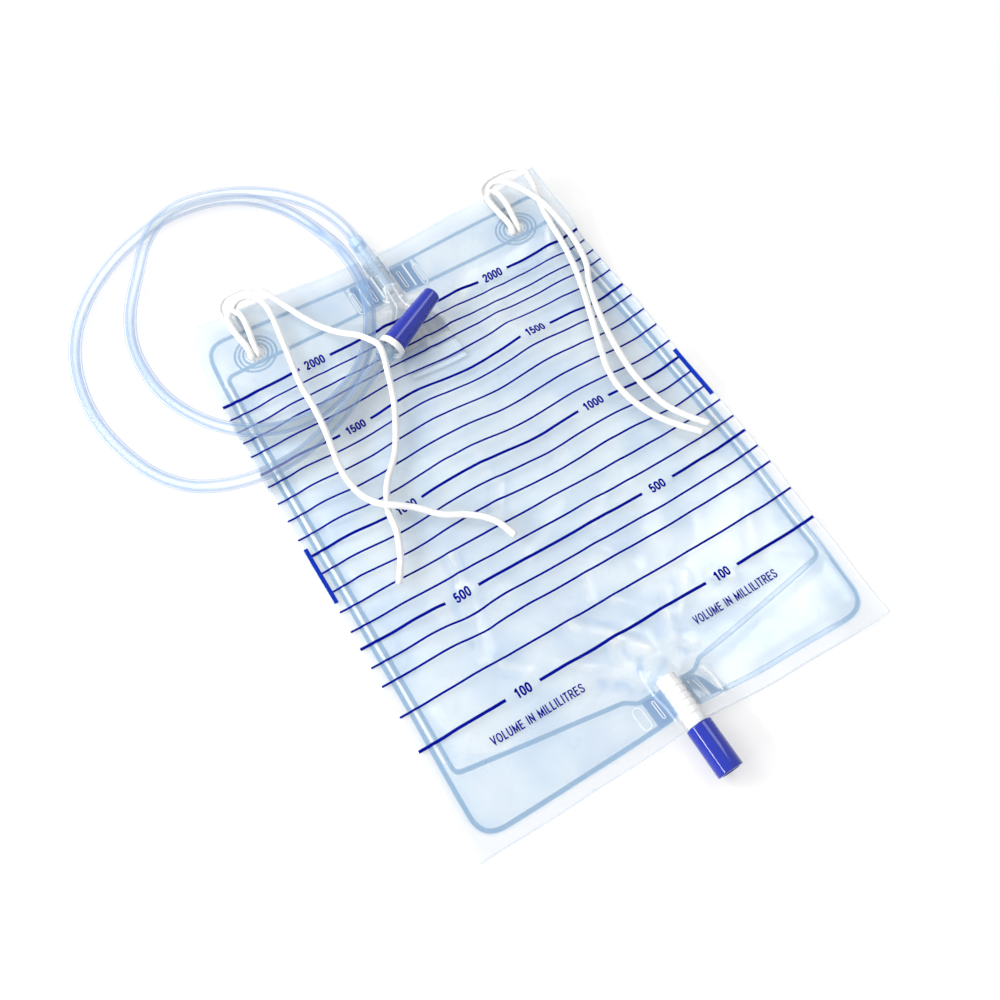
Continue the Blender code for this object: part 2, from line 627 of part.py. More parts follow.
def build_films(welds, clear, welded, ink, bar):
    """Front sheet with its print and weld lines, and the plain rear sheet."""
    plan = SheetPlan()
    skeleton(plan)
    half = WELD_WIDTH / 2
    for loop in (outer_weld, inner_weld):
        for offset in (-half, half):
            plan.line(loop(offset), closed=True)
    prints = print_boxes()
    for left, right, bottom, top, _ in prints:
        plan.line(box_loop(left, right, bottom, top, PRINT_STEP), closed=True)
    for tab in tab_boxes():
        plan.line(box_loop(*tab, 0.008), closed=True)
    rings = [RING_FIRST + RING_PITCH * k for k in range(RING_COUNT)]
    for hole in HOLES:
        for ring in rings:
            for radius in (ring, ring + RING_WIDTH):
                plan.line(circle_loop(hole, radius, 12), closed=True)
    for x0, y0, x1, y1, _, width in FOLDS:
        start = Vector((x0 * MM, BOTTOM + y0 * MM))
        end = Vector((x1 * MM, BOTTOM + y1 * MM))
        across = (end - start).orthogonal().normalized() * width * MM
        plan.points += [Vector(point) for point in split_line(start, end, 0.016)]
        plan.points += [(start + end) / 2 + across * side for side in (-1, 1)]
    plan.scatter(0.022)
    inner_edges, outer_edges = inner_weld(-half), outer_weld(half)

    def paint(point):
        for box in prints:
            if inside_box(point, box):
                return box[4]
        if any(inside_box(point, tab) for tab in welds.tabs):
            return 1
        for hole in HOLES:
            far = math.hypot(point.x - hole[0], point.y - hole[1])
            if point.y > hole[1] - 0.005 and any(r < far < r + RING_WIDTH for r in rings):
                return 1
        on_outer = distance_to_loop(point, welds.outer) < half * 1.02
        on_inner = distance_to_loop(point, welds.inner) < half * 1.02
        return 1 if on_outer or on_inner else 0

    front = sheet_mesh("front_film", plan, welds.front_under, FILM, paint)
    add_object("front_film", front, [clear, welded, ink, bar])
    plan = SheetPlan()
    skeleton(plan)
    plan.line(outer_weld(), closed=True)
    plan.line(inner_weld(), closed=True)
    plan.scatter(0.040)
    rear = sheet_mesh("rear_film", plan, rear_under, FILM)
    add_object("rear_film", rear, [clear])
    return front, rear


def build_valve(films, leaf_material):
    """Two soft leaves that part for the flow and close on each other against backflow."""
    rows, columns = 11, 4
    start = PORT_END - SEAT
    trees = [BVHTree.FromPolygons([v.co for v in film.vertices], [p.vertices for p in film.polygons])
             for film in films]
    for name, side in (("valve_front_leaf", 1), ("valve_rear_leaf", -1)):
        mesh = bpy.data.meshes.new(name)
        bm = bmesh.new()
        layers = ([], [])
        for row in range(rows + 1):
            far = VALVE_LENGTH * (row / rows) ** 1.4
            y = start - far
            spread = smooth_step((far - VALVE_STRAIGHT) / VALVE_FLARE)
            half_width = (VALVE_NECK + (VALVE_WIDTH - VALVE_NECK) * spread) / 2
            for column in range(columns + 1):
                x = half_width * (2 * column / columns - 1)
                high = trees[0].ray_cast(Vector((x, y, -1)), Vector((0, 0, 1)))[0].z
                low = trees[1].ray_cast(Vector((x, y, 1)), Vector((0, 0, -1)))[0].z
                open_by = max(0.0, (high - low) / 2 - LEAF_GAP / 2 - VALVE_FILM - 2 * SEAT)
                inner = (low + high) / 2 + side * (LEAF_GAP / 2 + LEAF_PART * open_by)
                layers[0].append(bm.verts.new((x, y, inner)))
                layers[1].append(bm.verts.new((x, y, inner + side * VALVE_FILM)))
        width = columns + 1
        for row in range(rows):
            for column in range(columns):
                k = row * width + column
                for layer in layers:
                    bm.faces.new([layer[i] for i in (k, k + 1, k + width + 1, k + width)])
        rim = list(range(width)) + [r * width + columns for r in range(1, rows + 1)]
        rim += [rows * width + c for c in range(columns - 1, -1, -1)]
        rim += [r * width for r in range(rows - 1, 0, -1)]
        for a, b in zip(rim, rim[1:] + rim[:1]):
            bm.faces.new([layers[0][a], layers[0][b], layers[1][b], layers[1][a]])
        bmesh.ops.recalc_face_normals(bm, faces=bm.faces)
        bm.to_mesh(mesh)
        bm.free()
        add_object(name, mesh, [leaf_material], 80.0)


# Turned pieces

def turned(name, profile, sides, materials, place, angle=35.0):
    """Turn a profile of (along, radius) points about the axis that place sets.

    The profile is closed; a point on the axis has radius 0. Along runs on local +Y.
    """
    mesh = bpy.data.meshes.new(name)
    bm = bmesh.new()
    rings = []
    for along, radius in profile:
        if radius == 0:
            rings.append([bm.verts.new((0, along, 0))] * sides)
            continue
        turns = [2 * math.pi * (k + 0.5) / sides for k in range(sides)]
        rings.append([bm.verts.new((radius * math.cos(t), along, radius * math.sin(t))) for t in turns])
    for ring, following in zip(rings, rings[1:] + rings[:1]):
        for k in range(sides):
            m = (k + 1) % sides
            corners = [ring[k], ring[m], following[m], following[k]]
            unique = list(dict.fromkeys(corners))
            if len(unique) > 2:
                bm.faces.new(unique)
    bmesh.ops.recalc_face_normals(bm, faces=bm.faces)
    bm.to_mesh(mesh)
    bm.free()
    result = add_object(name, mesh, materials, angle)
    result.matrix_world = place
    return result


def build_port(port_material):
    """Ribbed spigot: socket for the tube outside, open end in the bag inside."""
    end, radius = PORT_LENGTH, PORT_RADIUS
    outside = [(end, radius - 0.0004), (end - 0.0005, radius)]
    ribs = []
    for index in range(PORT_RIB_COUNT):
        middle = end - PORT_RIB_START - PORT_RIB_PITCH * index
        half = PORT_RIB_WIDTH / 2
        ribs += [(middle + half * 1.5, radius), (middle + half * 0.6, PORT_RIB_RADIUS)]
        ribs += [(middle - half * 0.6, PORT_RIB_RADIUS), (middle - half * 1.5, radius)]
    inside = [(0.0006, radius), (0, radius - 0.0006), (0, PORT_BORE)]
    socket = [(end - SOCKET_DEPTH, PORT_BORE), (end - SOCKET_DEPTH, TUBE_RADIUS + SEAT)]
    socket.append((end, TUBE_RADIUS + SEAT))
    place = Matrix.Translation((0, PORT_END, PORT_AXIS_HEIGHT))
    turned("inlet_port", outside + ribs + inside + socket, 16, [port_material], place)


def groove(start, radius):
    """A seal's groove in the spout's neck, from start on towards the tip."""
    floor = radius - SEAL_DEPTH
    end = start - SEAL_WIDTH - 2 * SEAT
    return [(start, radius), (start, floor), (end, floor), (end, radius)]


def seal_ring(name, middle, radius, material_used, place):
    """A seal with a softly rounded section."""
    half, depth = SEAL_WIDTH / 2, SEAL_DEPTH
    edge = 0.3 * half
    profile = [
        (middle + half - edge, radius), (middle + half, radius - edge),
        (middle + half, radius - depth + edge), (middle + half - edge, radius - depth),
        (middle - half + edge, radius - depth), (middle - half, radius - depth + edge),
        (middle - half, radius - edge), (middle - half + edge, radius),
    ]
    turned(name, profile, 16, [material_used], place)


def build_outlet(white, blue, seal_material):
    """Push-pull valve: the sleeve slides off the plug tip and lets the flow out."""
    place = Matrix.Translation((0, SPOUT_END, SPOUT_AXIS_HEIGHT))
    body = [(SPOUT_LENGTH, SPOUT_BORE), (SPOUT_LENGTH, SPOUT_RADIUS - 0.0005)]
    body.append((SPOUT_LENGTH - 0.0005, SPOUT_RADIUS))
    for index in range(SPOUT_RIB_COUNT):
        middle = SPOUT_LENGTH - SPOUT_RIB_START - SPOUT_RIB_PITCH * (index + 0.5)
        quarter = SPOUT_RIB_PITCH / 4
        body += [(middle + 2 * quarter, SPOUT_RADIUS), (middle + quarter, SPOUT_RIB_RADIUS)]
        body.append((middle - quarter, SPOUT_RIB_RADIUS))
    body += [(middle - 2 * quarter, SPOUT_RADIUS), (0, SPOUT_RADIUS), (0, NECK_RADIUS)]
    land_end = -LAND_START - LAND_LENGTH
    seal_room = SEAL_WIDTH + 2 * SEAT
    rear_groove = -LAND_START - (LAND_LENGTH - seal_room) / 2
    body += [(-LAND_START, NECK_RADIUS), (-LAND_START, LAND_RADIUS)]
    body += groove(rear_groove, LAND_RADIUS)
    body += [(land_end, LAND_RADIUS), (land_end, NECK_RADIUS)]
    tip_groove = -NECK_LENGTH + (TIP_LAND_LENGTH + seal_room) / 2
    body += groove(tip_groove, NECK_RADIUS)
    body += [(-NECK_LENGTH + 0.0004, NECK_RADIUS), (-NECK_LENGTH, NECK_RADIUS - 0.0004)]
    window_end = -NECK_LENGTH + TIP_LAND_LENGTH
    body += [(-NECK_LENGTH, 0), (window_end, 0), (window_end, NECK_BORE), (0, NECK_BORE)]
    body.append((0.002, SPOUT_BORE))
    spout = turned("outlet_spout", body, 16, [white], place)

    cutter = bpy.data.meshes.new("outlet_window_cutter")
    bm = bmesh.new()
    bmesh.ops.create_cube(bm, size=1.0)
    size = (3 * NECK_RADIUS, WINDOW_LENGTH, WINDOW_WIDTH)
    bmesh.ops.scale(bm, vec=size, verts=bm.verts)
    bm.to_mesh(cutter)
    bm.free()
    window = bpy.data.objects.new("outlet_window_cutter", cutter)
    bpy.context.scene.collection.objects.link(window)
    middle = (land_end + window_end) / 2
    window.matrix_world = place @ Matrix.Translation((0, middle, 0))
    window.hide_render = True
    window.display_type = "WIRE"
    cut = spout.modifiers.new("windows", "BOOLEAN")
    cut.operation = "DIFFERENCE"
    cut.solver = "EXACT"
    cut.object = window

    seal_ring("outlet_seal_rear", rear_groove - seal_room / 2, REAR_SEAL_RADIUS, seal_material, place)
    seal_ring("outlet_seal_tip", tip_groove - seal_room / 2, TIP_SEAL_RADIUS, seal_material, place)

    edge = SLEEVE_EDGE
    sleeve = [
        (-SEAT, SLEEVE_BORE), (-SEAT, SLEEVE_RADIUS - edge), (-SEAT - edge, SLEEVE_RADIUS),
        (-SEAT - SLEEVE_LENGTH + edge, SLEEVE_RADIUS),
        (-SEAT - SLEEVE_LENGTH, SLEEVE_RADIUS - edge), (-SEAT - SLEEVE_LENGTH, SLEEVE_MOUTH),
        (-SLEEVE_STEP, SLEEVE_MOUTH), (-SLEEVE_STEP + 0.0005, SLEEVE_BORE),
    ]
    turned("outlet_sleeve", sleeve, 28, [blue], place)


def connector_matrix():
    """Local +Y runs from the flange towards the cap's tip."""
    turn = Matrix.Rotation(math.radians(CONNECTOR_TURN - 90), 4, "Z")
    rise = Matrix.Rotation(math.radians(CONNECTOR_RISE), 4, "X")
    return Matrix.Translation(CONNECTOR_PLACE) @ turn @ rise


def build_connector(white, blue):
    """Cupped flange with the tube's hub behind it and a barbed nozzle inside the cap."""
    place = connector_matrix()
    back = -FLANGE_THICKNESS
    bore = TUBE_RADIUS + SEAT
    body = [
        (-HUB_LENGTH, bore), (-HUB_LENGTH, HUB_RADIUS - 0.0004), (-HUB_LENGTH + 0.0004, HUB_RADIUS),
        (back, HUB_RADIUS), (back, FLANGE_RADIUS - FLANGE_RIM),
        (back - FLANGE_CUP, FLANGE_RADIUS - FLANGE_RIM), (back - FLANGE_CUP, FLANGE_RADIUS - 0.0003),
        (back - FLANGE_CUP + 0.0004, FLANGE_RADIUS), (-0.0003, FLANGE_RADIUS),
        (0, FLANGE_RADIUS - 0.0003), (0, NOZZLE_ROOT),
    ]
    step = NOZZLE_LENGTH / (NOZZLE_BARBS + 1)
    slope = (NOZZLE_ROOT - NOZZLE_TIP) / NOZZLE_LENGTH
    for index in range(1, NOZZLE_BARBS + 1):
        along = step * index
        radius = NOZZLE_ROOT - slope * along
        body += [(along, radius), (along, radius + 0.0004)]
    body += [(NOZZLE_LENGTH, NOZZLE_TIP), (NOZZLE_LENGTH, NOZZLE_BORE)]
    depth = -HUB_LENGTH + HUB_BORE_DEPTH
    body += [(depth, NOZZLE_BORE), (depth, bore)]
    turned("tube_connector", body, 18, [white], place)

    tip, inner_end = CAP_LENGTH, CAP_LENGTH - CAP_WALL
    shell = [(SEAT, CAP_BASE_RADIUS - CAP_WALL), (SEAT, CAP_BASE_RADIUS - 0.0003)]
    shell.append((SEAT + 0.0004, CAP_BASE_RADIUS))
    shell.append((tip - CAP_ROUND, CAP_TIP_RADIUS))
    shell.append((tip - 0.35 * CAP_ROUND, CAP_TIP_RADIUS - 0.25 * CAP_ROUND))
    shell += [(tip, CAP_TIP_RADIUS - CAP_ROUND), (tip, 0), (inner_end, 0)]
    shell.append((inner_end, CAP_TIP_RADIUS - CAP_WALL))
    turned("connector_cap", shell, 28, [blue], place)


# Cords

def smooth_route(route, count, bend_weight=0.004):
    """Read count points from a smooth curve through the route, closer where it bends."""
    points = [Vector(point) * MM for point in route]
    ends = [points[0] * 2 - points[1]] + points + [points[-1] * 2 - points[-2]]
    fine = []
    steps = 16
    for a, b, c, d in zip(ends, ends[1:], ends[2:], ends[3:]):
        t1 = (b - a).length ** 0.5
        t2 = t1 + (c - b).length ** 0.5
        t3 = t2 + (d - c).length ** 0.5
        for step in range(steps):
            t = t1 + (t2 - t1) * step / steps
            p = a.lerp(b, t / t1)
            q = b.lerp(c, (t - t1) / (t2 - t1))
            r = c.lerp(d, (t - t2) / (t3 - t2))
            u = p.lerp(q, t / t2)
            v = q.lerp(r, (t - t1) / (t3 - t1))
            fine.append(u.lerp(v, (t - t1) / (t2 - t1)))
    fine.append(points[-1])
    reach = [0.0]
    for index in range(1, len(fine)):
        ahead = fine[min(index + 1, len(fine) - 1)] - fine[index]
        behind = fine[index] - fine[index - 1]
        turn = behind.angle(ahead, 0.0)
        reach.append(reach[-1] + behind.length + bend_weight * turn)
    picked = []
    index = 0
    for number in range(count):
        goal = reach[-1] * number / (count - 1)
        while index < len(reach) - 2 and reach[index + 1] < goal:
            index += 1
        span = reach[index + 1] - reach[index]
        picked.append(fine[index].lerp(fine[index + 1], (goal - reach[index]) / span))
    return picked


def add_cord(name, route, count, radius, sides, cord_material):
    curve = bpy.data.curves.new(name, "CURVE")
    curve.dimensions = "3D"
    curve.bevel_depth = radius
    curve.bevel_resolution = sides
    curve.use_fill_caps = True
    spline = curve.splines.new("POLY")
    points = smooth_route(route, count)
    spline.points.add(len(points) - 1)
    for target, point in zip(spline.points, points):
        target.co = (*point, 1.0)
    curve.materials.append(cord_material)
    cord = bpy.data.objects.new(name, curve)
    bpy.context.scene.collection.objects.link(cord)


def main():
    clear_scene()
    clear = material("clear_film", (0.82, 0.91, 0.97), 0.18, 0.35)
    welded = material("welded_film", (0.60, 0.73, 0.84), 0.25, 0.6)
    ink = material("navy_ink", (0.08, 0.10, 0.50), 0.4)
    bar = material("blue_ink", (0.18, 0.30, 0.74), 0.4)
    soft = material("valve_film", (0.90, 0.94, 0.97), 0.3, 0.4)
    tube = material("clear_tube", (0.86, 0.92, 0.97), 0.12, 0.4)
    port = material("clear_port", (0.86, 0.91, 0.96), 0.2, 0.5)
    white = material("white_plastic", (0.96, 0.97, 0.98), 0.35)
    blue = material("blue_plastic", (0.13, 0.20, 0.70), 0.2)
    seal = material("seal_rubber", (0.85, 0.86, 0.88), 0.6)
    cotton = material("white_cord", (0.97, 0.97, 0.96), 0.8)
    welds = Welds()
    films = build_films(welds, clear, welded, ink, bar)
    build_valve(films, soft)
    build_port(port)
    build_outlet(white, blue, seal)
    build_connector(white, blue)
    add_cord("inlet_tube", TUBE_ROUTE, TUBE_POINTS, TUBE_RADIUS, 3, tube)
    add_cord("hanging_cord_left", LEFT_CORD_ROUTE, CORD_POINTS, CORD_RADIUS, 2, cotton)
    add_cord("hanging_cord_right", RIGHT_CORD_ROUTE, CORD_POINTS, CORD_RADIUS, 2, cotton)


main()
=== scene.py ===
"""Looks of the urine drainage bag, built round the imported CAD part.

Work is in millimetres in the part's own frame, and turned into metres where meshes are made.
"""

import math

import bpy
import numpy as np
from mathutils import Matrix, Vector
from mathutils.bvhtree import BVHTree


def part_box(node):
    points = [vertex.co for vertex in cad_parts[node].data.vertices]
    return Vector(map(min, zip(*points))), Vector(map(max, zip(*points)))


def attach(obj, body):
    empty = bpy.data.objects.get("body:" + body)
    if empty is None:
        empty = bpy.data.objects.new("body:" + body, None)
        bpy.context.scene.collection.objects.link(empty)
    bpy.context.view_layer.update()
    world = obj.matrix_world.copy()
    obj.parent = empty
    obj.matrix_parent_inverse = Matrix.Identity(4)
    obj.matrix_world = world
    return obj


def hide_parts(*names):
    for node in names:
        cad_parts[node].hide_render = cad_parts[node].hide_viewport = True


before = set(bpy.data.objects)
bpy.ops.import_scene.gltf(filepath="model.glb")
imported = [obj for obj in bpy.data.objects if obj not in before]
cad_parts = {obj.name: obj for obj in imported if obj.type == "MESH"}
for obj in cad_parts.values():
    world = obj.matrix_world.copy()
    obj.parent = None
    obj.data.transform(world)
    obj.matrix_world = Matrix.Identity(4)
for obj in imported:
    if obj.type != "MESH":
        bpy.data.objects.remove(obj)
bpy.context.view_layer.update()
MM = 0.001

film_low, film_high = (np.array(corner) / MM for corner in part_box("front_film"))
HALF_WIDTH = float(film_high[0])
BOTTOM, TOP = float(film_low[1]), float(film_high[1])
PORT_INNER = float(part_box("inlet_port")[0][1]) / MM
PORT_OUTER = float(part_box("inlet_port")[1][1]) / MM
SPOUT_INNER = float(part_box("outlet_spout")[1][1]) / MM
SLEEVE_TOP = float(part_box("outlet_sleeve")[1][1]) / MM
SLEEVE_END = float(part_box("outlet_sleeve")[0][1]) / MM
PORT_AXIS, SPOUT_AXIS = 5.9, 6.3  # heights of the axes of the two pipes
PORT_HOLD = 5.6  # radius of the film round a pipe
TENT_ANGLE = 72.0  # slope of the film beside a pipe, in degrees
HOLE_PLACE, HOLE_RADIUS = 77.5, 4.5
HOLES = [(-HOLE_PLACE, TOP - 29.5), (HOLE_PLACE, TOP - 29.5)]
FILM = 0.2  # thickness of a sheet
NAVY, ROYAL = (0.0, 0.05, 0.50), (0.06, 0.18, 0.62)


# Camera, at the photograph's viewing angle

def add_camera():
    """Camera fitted to the film's corners in the photograph."""
    data = bpy.data.cameras.new("camera")
    data.lens, data.sensor_width = 35.5, 36.0
    data.clip_start, data.clip_end = 0.01, 20.0
    camera = bpy.data.objects.new("camera", data)
    bpy.context.scene.collection.objects.link(camera)
    camera.location = (-0.120271, -0.191399, 0.413345)
    camera.rotation_euler = [math.radians(angle) for angle in (27.215, 0.665, -31.339)]
    bpy.context.scene.camera = camera


add_camera()


# Cords: the routes are those of the part's solids, in millimetres

TUBE_ROUTE = [
    (0, 159.2, 5.9), (0, 165, 5.9), (0, 171.5, 5.95), (-0.9, 177, 6.7), (-3.2, 184.5, 8.0),
    (-7, 193, 9.4), (-12.5, 201.5, 10.3), (-23, 213.5, 10.6), (-38, 224.5, 10.6),
    (-54.5, 231.5, 10.6), (-70, 234, 10.6), (-83, 231.5, 10.3), (-95, 223.5, 8.6),
    (-109.5, 205, 5.2), (-121.5, 186, 3.8), (-127.8, 167, 3.6), (-129, 148, 3.6),
    (-126.3, 128, 4.2), (-118.5, 108, 6.0), (-105.5, 90, 7.8), (-88.5, 79.2, 8.0),
    (-69.5, 75.8, 8.0), (-51, 80.6, 8.0), (-33, 92.5, 8.0), (-19.8, 110, 8.8),
    (-12.6, 129, 10.4), (-10.4, 148, 10.6), (-11.0, 164, 9.2), (-12.4, 177, 5.6),
    (-15.2, 190, 3.9), (-22.5, 208, 3.6), (-35, 224, 3.6), (-50, 233.5, 3.6),
    (-66, 237.3, 3.6), (-82, 237, 3.6), (-99, 232, 3.6), (-117, 223, 3.6),
    (-135, 208.5, 3.6), (-148.5, 191, 3.6), (-157, 171, 3.6), (-160.5, 150, 3.6),
    (-160, 129, 3.6), (-155, 107, 3.6), (-147, 88.5, 3.6), (-136, 74.5, 4.4),
    (-122.5, 65.2, 6.4), (-105.5, 59.6, 8.0), (-88.5, 59.4, 8.0), (-73.5, 62.8, 8.0),
    (-59.5, 68, 8.2), (-48, 73.6, 9.2), (-38, 79, 10.4), (-31, 82.72, 10.86),
    (-25.6, 85.47, 11.18), (-19.64, 88.5, 11.53),
]
LEFT_CORD_ROUTE = [
    (-18.8, -29, 6.1), (-22.7, -18, 6.1), (-30.8, -9.5, 6.1), (-41.6, -2.7, 6.1),
    (-51, 6.6, 7.4), (-58.5, 11.4, 9.5), (-65, 16.5, 9.9), (-69.4, 26, 7.6), (-71, 38, 6.1),
    (-70.6, 47, 7.4), (-69.6, 54, 10.8), (-68.6, 61, 13.4), (-67.8, 69, 13.6),
    (-67.3, 77, 13.6), (-66.9, 85, 11.0), (-66.4, 93, 7.2), (-65.3, 103, 6.6),
    (-63.7, 114, 8.4), (-62.2, 126, 8.9), (-60.8, 136, 9.2), (-60.4, 146, 10.4),
    (-62.6, 152.8, 11.6), (-67.3, 157.6, 10.8), (-72, 159.4, 8.2), (-75.0, 159.0, 4.8),
    (-75.9, 155.4, 2.3), (-75.9, 148, 2.1), (-75.8, 138, 2.1), (-75.7, 130.5, 2.1),
    (-75.7, 127, 3.3), (-75.7, 125.4, 5.0), (-75.7, 127, 6.7), (-75.6, 130.8, 8.0),
    (-74.4, 138, 8.1), (-73.6, 146, 8.1), (-74.1, 151.6, 8.2), (-77.1, 154.4, 8.3),
    (-80.3, 151.6, 8.2), (-80.9, 146, 8.1), (-80.4, 138, 8.1), (-79.4, 130.8, 8.0),
    (-79.3, 127, 6.7), (-79.3, 125.4, 5.0), (-79.3, 127, 3.3), (-79.5, 130.5, 2.1),
    (-80.2, 138, 2.1), (-81, 148, 2.0), (-81.5, 155, 2.0), (-81.8, 160, 2.4), (-80.8, 163.4, 4.8),
    (-77.2, 164.6, 8.6), (-71.5, 163, 11.8), (-64.8, 160.8, 13.4), (-59, 156, 12.8),
    (-55.4, 150, 11.0), (-51.5, 142, 9.2), (-47.5, 132, 9.0), (-42.5, 122, 8.8),
    (-35.5, 111.5, 10.2), (-29.6, 103, 13.6), (-26.2, 96, 15.6), (-24.6, 89.5, 17.8),
    (-25.2, 83.5, 17.8), (-27.4, 75.5, 13.2), (-30.4, 66, 7.8), (-35, 55.5, 6.1),
    (-45, 37.6, 6.1), (-55.8, 25.2, 6.1), (-61.9, 13.2, 6.1), (-63.8, 1.5, 6.1),
    (-69.1, -12.2, 6.1), (-75.3, -22, 6.1),
]
RIGHT_CORD_ROUTE = [
    (92.1, -27.5, 6.1), (85.5, -18, 6.1), (80.2, -7, 6.1), (77.8, 12.5, 6.1),
    (79, 29, 6.1), (83.8, 54, 6.1), (90, 73, 6.1), (96.8, 86.5, 6.1), (99.8, 101, 6.6),
    (99.4, 115, 9.4), (96.8, 128, 12.9), (93.8, 139, 12.8), (90.4, 148, 12.4),
    (86.6, 154.8, 11.8), (83.0, 159, 9.2), (80.4, 159.6, 5.6), (79.3, 156.2, 2.6),
    (79.2, 148, 2.1), (79.2, 138, 2.1), (79.2, 130.5, 2.1), (79.3, 127, 3.3),
    (79.3, 125.4, 5.0), (79.3, 127, 6.7), (79.5, 130.8, 8.0), (81, 138, 8.1),
    (81.9, 146, 8.1), (81.3, 151.6, 8.2), (78.2, 154.4, 8.3), (75.0, 151.6, 8.2),
    (74.6, 146, 8.1), (75, 138, 8.1), (75.6, 130.8, 8.0), (75.7, 127, 6.7),
    (75.7, 125.4, 5.0), (75.7, 127, 3.3), (75.6, 130.5, 2.1), (75.3, 138, 2.1),
    (75, 148, 2.1), (75.2, 156, 2.1), (76.8, 162.6, 2.1), (81.2, 166.6, 2.4),
    (87.5, 168, 3.6), (94, 165.8, 6.6), (98.6, 161.4, 10.2), (100.8, 155.2, 12.2),
    (100.6, 146.5, 11.2), (98.4, 137, 9.2), (95.9, 126.5, 8.9), (94.6, 117, 8.2),
    (93.8, 106, 6.6), (90.8, 90, 6.1), (85.6, 72.6, 6.1), (79.6, 56, 6.1), (72.8, 37.5, 6.1),
    (68.3, 23.5, 6.1), (67.3, 9.5, 6.1), (71.5, -7.5, 6.1), (79.5, -21, 6.1),
    (86.5, -29.5, 6.1),
]
TUBE_RADIUS, TUBE_BORE = 3.25, 2.15
CORD_RADIUS = 1.6


def smooth_path(route, step):
    """Points a step apart on a smooth curve through the route."""
    points = np.array(route, float)
    ends = np.vstack([2 * points[0] - points[1], points, 2 * points[-1] - points[-2]])
    fine = []
    for a, b, c, d in zip(ends, ends[1:], ends[2:], ends[3:]):
        t1 = np.linalg.norm(b - a) ** 0.5
        t2 = t1 + np.linalg.norm(c - b) ** 0.5
        t3 = t2 + np.linalg.norm(d - c) ** 0.5
        t = np.linspace(t1, t2, 24, endpoint=False)[:, None]
        p = a + (b - a) * t / t1
        q = b + (c - b) * (t - t1) / (t2 - t1)
        r = c + (d - c) * (t - t2) / (t3 - t2)
        u, v = p + (q - p) * t / t2, q + (r - q) * (t - t1) / (t3 - t1)
        fine.append(u + (v - u) * (t - t1) / (t2 - t1))
    fine = np.vstack(fine + [points[-1:]])
    reach = np.concatenate([[0], np.cumsum(np.linalg.norm(np.diff(fine, axis=0), axis=1))])
    count = max(2, int(round(reach[-1] / step)) + 1)
    goals = np.linspace(0, reach[-1], count)
    return np.column_stack([np.interp(goals, reach, fine[:, k]) for k in range(3)])


def path_frames(path):
    """Two directions across the path at each point, carried along without twist."""
    along = np.gradient(path, axis=0)
    along /= np.linalg.norm(along, axis=1)[:, None]
    side = np.cross(along[0], (0, 0, 1.0))
    if np.linalg.norm(side) < 1e-6:
        side = np.array((1.0, 0, 0))
    sides, ups = [], []
    for direction in along:
        side = side - direction * np.dot(side, direction)
        side = side / np.linalg.norm(side)
        sides.append(side)
        ups.append(np.cross(direction, side))
    return np.array(sides), np.array(ups)


def full_turn(sides):
    """Angles of the points of a ring."""
    return 2 * math.pi * np.arange(sides) / sides


def rings_round(path, sides):
    """Directions from each point of the path to the points of the ring round it."""
    side, up = path_frames(path)
    cos, sin = np.cos(full_turn(sides))[None, :, None], np.sin(full_turn(sides))[None, :, None]
    return side[:, None] * cos + up[:, None] * sin


def make_mesh(name, points, faces, materials, smooth=True):
    """A new object from points in millimetres."""
    mesh = bpy.data.meshes.new(name)
    mesh.from_pydata((np.asarray(points) * MM).tolist(), [], faces)
    mesh.validate()
    for item in materials:
        mesh.materials.append(item)
    if smooth:
        mesh.shade_smooth()
    piece = bpy.data.objects.new(name, mesh)
    bpy.context.scene.collection.objects.link(piece)
    return piece


def ring_faces(rings, sides, first=0, flip=False):
    """Quads between rings of points that follow each other."""
    faces = []
    for ring in range(rings - 1):
        for k in range(sides):
            m = (k + 1) % sides
            a = first + ring * sides
            quad = (a + k, a + m, a + sides + m, a + sides + k)
            faces.append(quad[::-1] if flip else quad)
    return faces


def two_sided(top, low, faces):
    """Points and faces of a closed thin layer: both sides, and walls along the open edges."""
    count, edges = len(top), {}
    for face in faces:
        for a, b in zip(face, face[1:] + face[:1]):
            key = (min(a, b), max(a, b))
            edges[key] = None if key in edges else (a, b)
    walls = [(b, a, count + a, count + b) for a, b in (pair for pair in edges.values() if pair)]
    back = [tuple(count + k for k in face[::-1]) for face in faces]
    return np.vstack([top, low]), list(faces) + back + walls


def mark_points(piece, label, values):
    """Stores one number for each point of a two-sided piece, for its material."""
    attribute = piece.data.attributes.new(label, "FLOAT", "POINT")
    attribute.data.foreach_set("value", np.tile(values, 2).astype(np.float32))


def declare(piece, body, slot_name, *nodes):
    """Puts the piece on the body it rides on and hides the CAD nodes it stands for; slot_name is not
    used.
    """
    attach(piece, body)
    if nodes:
        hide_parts(*nodes)


# Materials

def linear(color):
    """Linear value of a colour written as it looks."""
    return tuple(c / 12.92 if c <= 0.04045 else ((c + 0.055) / 1.055) ** 2.4 for c in color)


